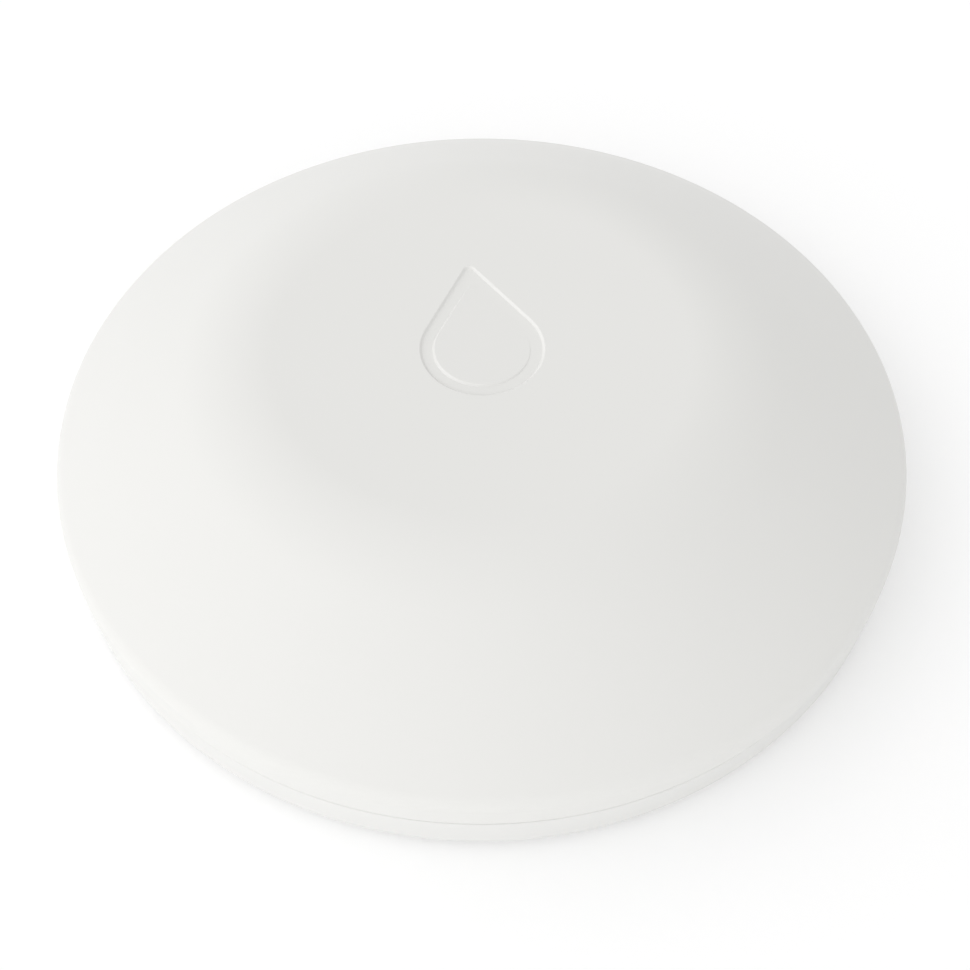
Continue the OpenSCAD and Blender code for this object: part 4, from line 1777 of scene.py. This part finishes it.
@dataclass
class Stage:
    """Pale floor, even studio light and a weak lamp under the floor."""

    floor_side: float = 6.0
    floor_tone: float = 0.88
    floor_roughness: float = 0.9
    floor_cloud: float = 0.3
    floor_cloud_detail: float = 2.0
    floor_cloud_tone: float = 0.998
    floor_lift: float = 0.14
    floor_glow: float = 0.1
    tent_level: float = 1.226
    tent_from_above: float = -0.336
    tent_from_side: float = 0.54
    bright_side: float = 194.0
    under_power: float = 0.0045
    under_r: float = 38 * MM
    under_gap: float = 20 * MM
    under_spread: float = 16.0

    def floor_finish(self) -> bpy.types.Material:
        """Make the floor's finish: pale, glowing a little, and open from below and to shadow rays.

        Returns:
            Its new material.
        """
        sheet = ShaderSheet("pale_floor")
        clouds = sheet.noise(self.floor_cloud, self.floor_cloud_detail, sheet.place())
        tone = (self.floor_tone,) * 3
        sheet.colour(sheet.tint(clouds, shaded(tone, self.floor_cloud_tone), tone))
        sheet.shader.inputs["Roughness"].default_value = self.floor_roughness
        sheet.shader.inputs["Specular IOR Level"].default_value = 0.0
        sheet.shader.inputs["Emission Color"].default_value = WHITE
        rays = sheet.add("ShaderNodeLightPath").outputs
        seen = sheet.reckoned(Reckoning.LARGER, rays["Is Camera Ray"], rays["Is Glossy Ray"])
        glow = sheet.between(seen, self.floor_glow, self.floor_lift)
        sheet.join(glow, sheet.shader.inputs["Emission Strength"])
        back = sheet.add("ShaderNodeNewGeometry").outputs["Backfacing"]
        opened = sheet.reckoned(Reckoning.LARGER, back, rays["Is Shadow Ray"])
        mix = sheet.add("ShaderNodeMixShader")
        sheet.join(opened, mix.inputs["Fac"])
        sheet.join(sheet.shader.outputs["BSDF"], mix.inputs[1])
        sheet.join(sheet.add("ShaderNodeBsdfTransparent").outputs["BSDF"], mix.inputs[2])
        sheet.join(mix.outputs["Shader"], sheet.first("OUTPUT_MATERIAL").inputs["Surface"])
        return sheet.material

    def floor(self) -> bpy.types.Object:
        """Make the floor, which takes the sensor's shadow and can be seen through from below.

        Returns:
            The floor.
        """
        mesh = bmesh.new()
        bmesh.ops.create_grid(mesh, x_segments=1, y_segments=1, size=self.floor_side / 2)
        made = loose_object("floor", mesh)
        made.data.materials.append(self.floor_finish())
        return made

    def tent(self) -> None:
        """Light the scene as a white tent does: even, a little brighter from one side."""
        world = bpy.data.worlds.new("tent")
        bpy.context.scene.world = world
        world.use_nodes = True
        sheet = NodeSheet(world.node_tree)
        sheet.tree.nodes.clear()
        way = sheet.add("ShaderNodeTexCoord").outputs["Generated"]
        side = sheet.add("ShaderNodeVectorMath", operation="DOT_PRODUCT")
        sheet.join(way, side.inputs[0])
        slope = level_way(self.bright_side) * self.tent_from_side
        side.inputs[1].default_value = slope + Vector((0.0, 0.0, self.tent_from_above))
        level = sheet.reckoned(Reckoning.TOTAL, side.outputs["Value"], self.tent_level)
        parts = sheet.add("ShaderNodeSeparateXYZ")
        sheet.join(way, parts.inputs["Vector"])
        over = sheet.reckoned(Reckoning.IS_OVER, parts.outputs["Z"], 0.0)
        light = sheet.reckoned(Reckoning.PRODUCT, level, over)
        rays = sheet.add("ShaderNodeLightPath").outputs
        seen = rays["Is Camera Ray"]
        for ray in ("Is Glossy Ray", "Is Transmission Ray"):
            seen = sheet.reckoned(Reckoning.LARGER, seen, rays[ray])
        strength = sheet.add("ShaderNodeMix", data_type="FLOAT")
        sheet.join(seen, strength.inputs["Factor"])
        sheet.join(light, strength.inputs["A"])
        strength.inputs["B"].default_value = 1.0
        glow = sheet.add("ShaderNodeBackground", Color=WHITE)
        sheet.join(strength.outputs["Result"], glow.inputs["Strength"])
        output = sheet.add("ShaderNodeOutputWorld")
        sheet.join(glow.outputs["Background"], output.inputs["Surface"])

    def under_lamp(self) -> None:
        """Light the underside through the floor with a narrow upright beam, as a light table does."""
        light = bpy.data.lights.new("under_lamp", "AREA")
        light.shape = "DISK"
        light.size = 2 * self.under_r
        light.energy = self.under_power
        light.spread = math.radians(self.under_spread)
        light.cycles.use_multiple_importance_sampling = False
        made = bpy.data.objects.new("under_lamp", light)
        made.location = (0.0, 0.0, -self.under_gap)
        made.rotation_euler = (math.pi, 0.0, 0.0)
        made.visible_camera = False
        made.visible_glossy = False
        bpy.context.scene.collection.objects.link(made)

    def build(self) -> None:
        """Make floor and lights, and set plain colours."""
        self.floor()
        self.tent()
        self.under_lamp()
        bpy.context.scene.view_settings.view_transform = "Standard"


def towards_viewer(azimuth: float, elevation: float) -> Vector:
    """Give the direction from the sensor to a viewer.

    Args:
        azimuth: Angle in degrees from the front, anticlockwise from above.
        elevation: Angle in degrees over the level.

    Returns:
        The direction, of length 1.
    """
    turn = math.radians(azimuth)
    rise = math.radians(elevation)
    return Vector((math.sin(turn) * math.cos(rise), -math.cos(turn) * math.cos(rise), math.sin(rise)))


@dataclass
class StudioCamera:
    """A camera close over the sensor's front, turned a little to its left."""

    girth_z: float
    distance: float = 132.4 * MM
    azimuth: float = -7.07
    elevation: float = 50.83
    pitch: float = 53.54
    yaw: float = 0.21
    focal_px: float = 1380.0
    image_px: float = 970.0
    sensor_mm: float = 36.0
    nearest: float = 5.0 * MM

    def build(self) -> bpy.types.Object:
        """Make the camera and use it for the picture.

        Returns:
            The camera.
        """
        lens = bpy.data.cameras.new("studio_camera")
        lens.sensor_width = self.sensor_mm
        lens.lens = self.sensor_mm * self.focal_px / self.image_px
        lens.clip_start = self.nearest
        made = bpy.data.objects.new("studio_camera", lens)
        bpy.context.scene.collection.objects.link(made)
        back = towards_viewer(self.azimuth, self.elevation)
        made.location = Vector((0.0, 0.0, self.girth_z)) + back * self.distance
        ahead = -towards_viewer(self.azimuth - self.yaw, self.pitch)
        made.rotation_mode = "QUATERNION"
        made.rotation_quaternion = ahead.to_track_quat("-Z", "Y")
        bpy.context.scene.camera = made
        return made


def write_sizes() -> None:
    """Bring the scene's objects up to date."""
    bpy.context.view_layer.update()


def main() -> None:
    """Build and dress the sensor, then its stage and camera."""
    logging.basicConfig(level=logging.INFO, format="%(message)s")
    cover = TopCover(*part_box("top_cover"))
    feet = ContactFeet(*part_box("contact_feet"))
    screws = CoverScrews(*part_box("cover_screws"))
    button = PairingButton(*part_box("pairing_button"))
    door = BatteryDoor(*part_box("battery_door"))
    gasket_low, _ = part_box("cover_gasket")
    vent_low, vent_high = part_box("sound_membrane")
    base = BaseShell(
        *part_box("base_shell"),
        seam_z=gasket_low.z,
        screw_circle_r=screws.circle_r,
        foot_circle_r=feet.circle_r,
        button_x=button.middle_x,
        sound_x=(vent_low.x + vent_high.x) / 2,
    )
    for piece in (cover, base, door, feet, screws, button):
        piece.build()
    InnerWorks(frame["nodes"]).dress()
    Stage().build()
    StudioCamera(cover.girth_z).build()
    write_sizes()


if __name__ == "__main__":
    main()
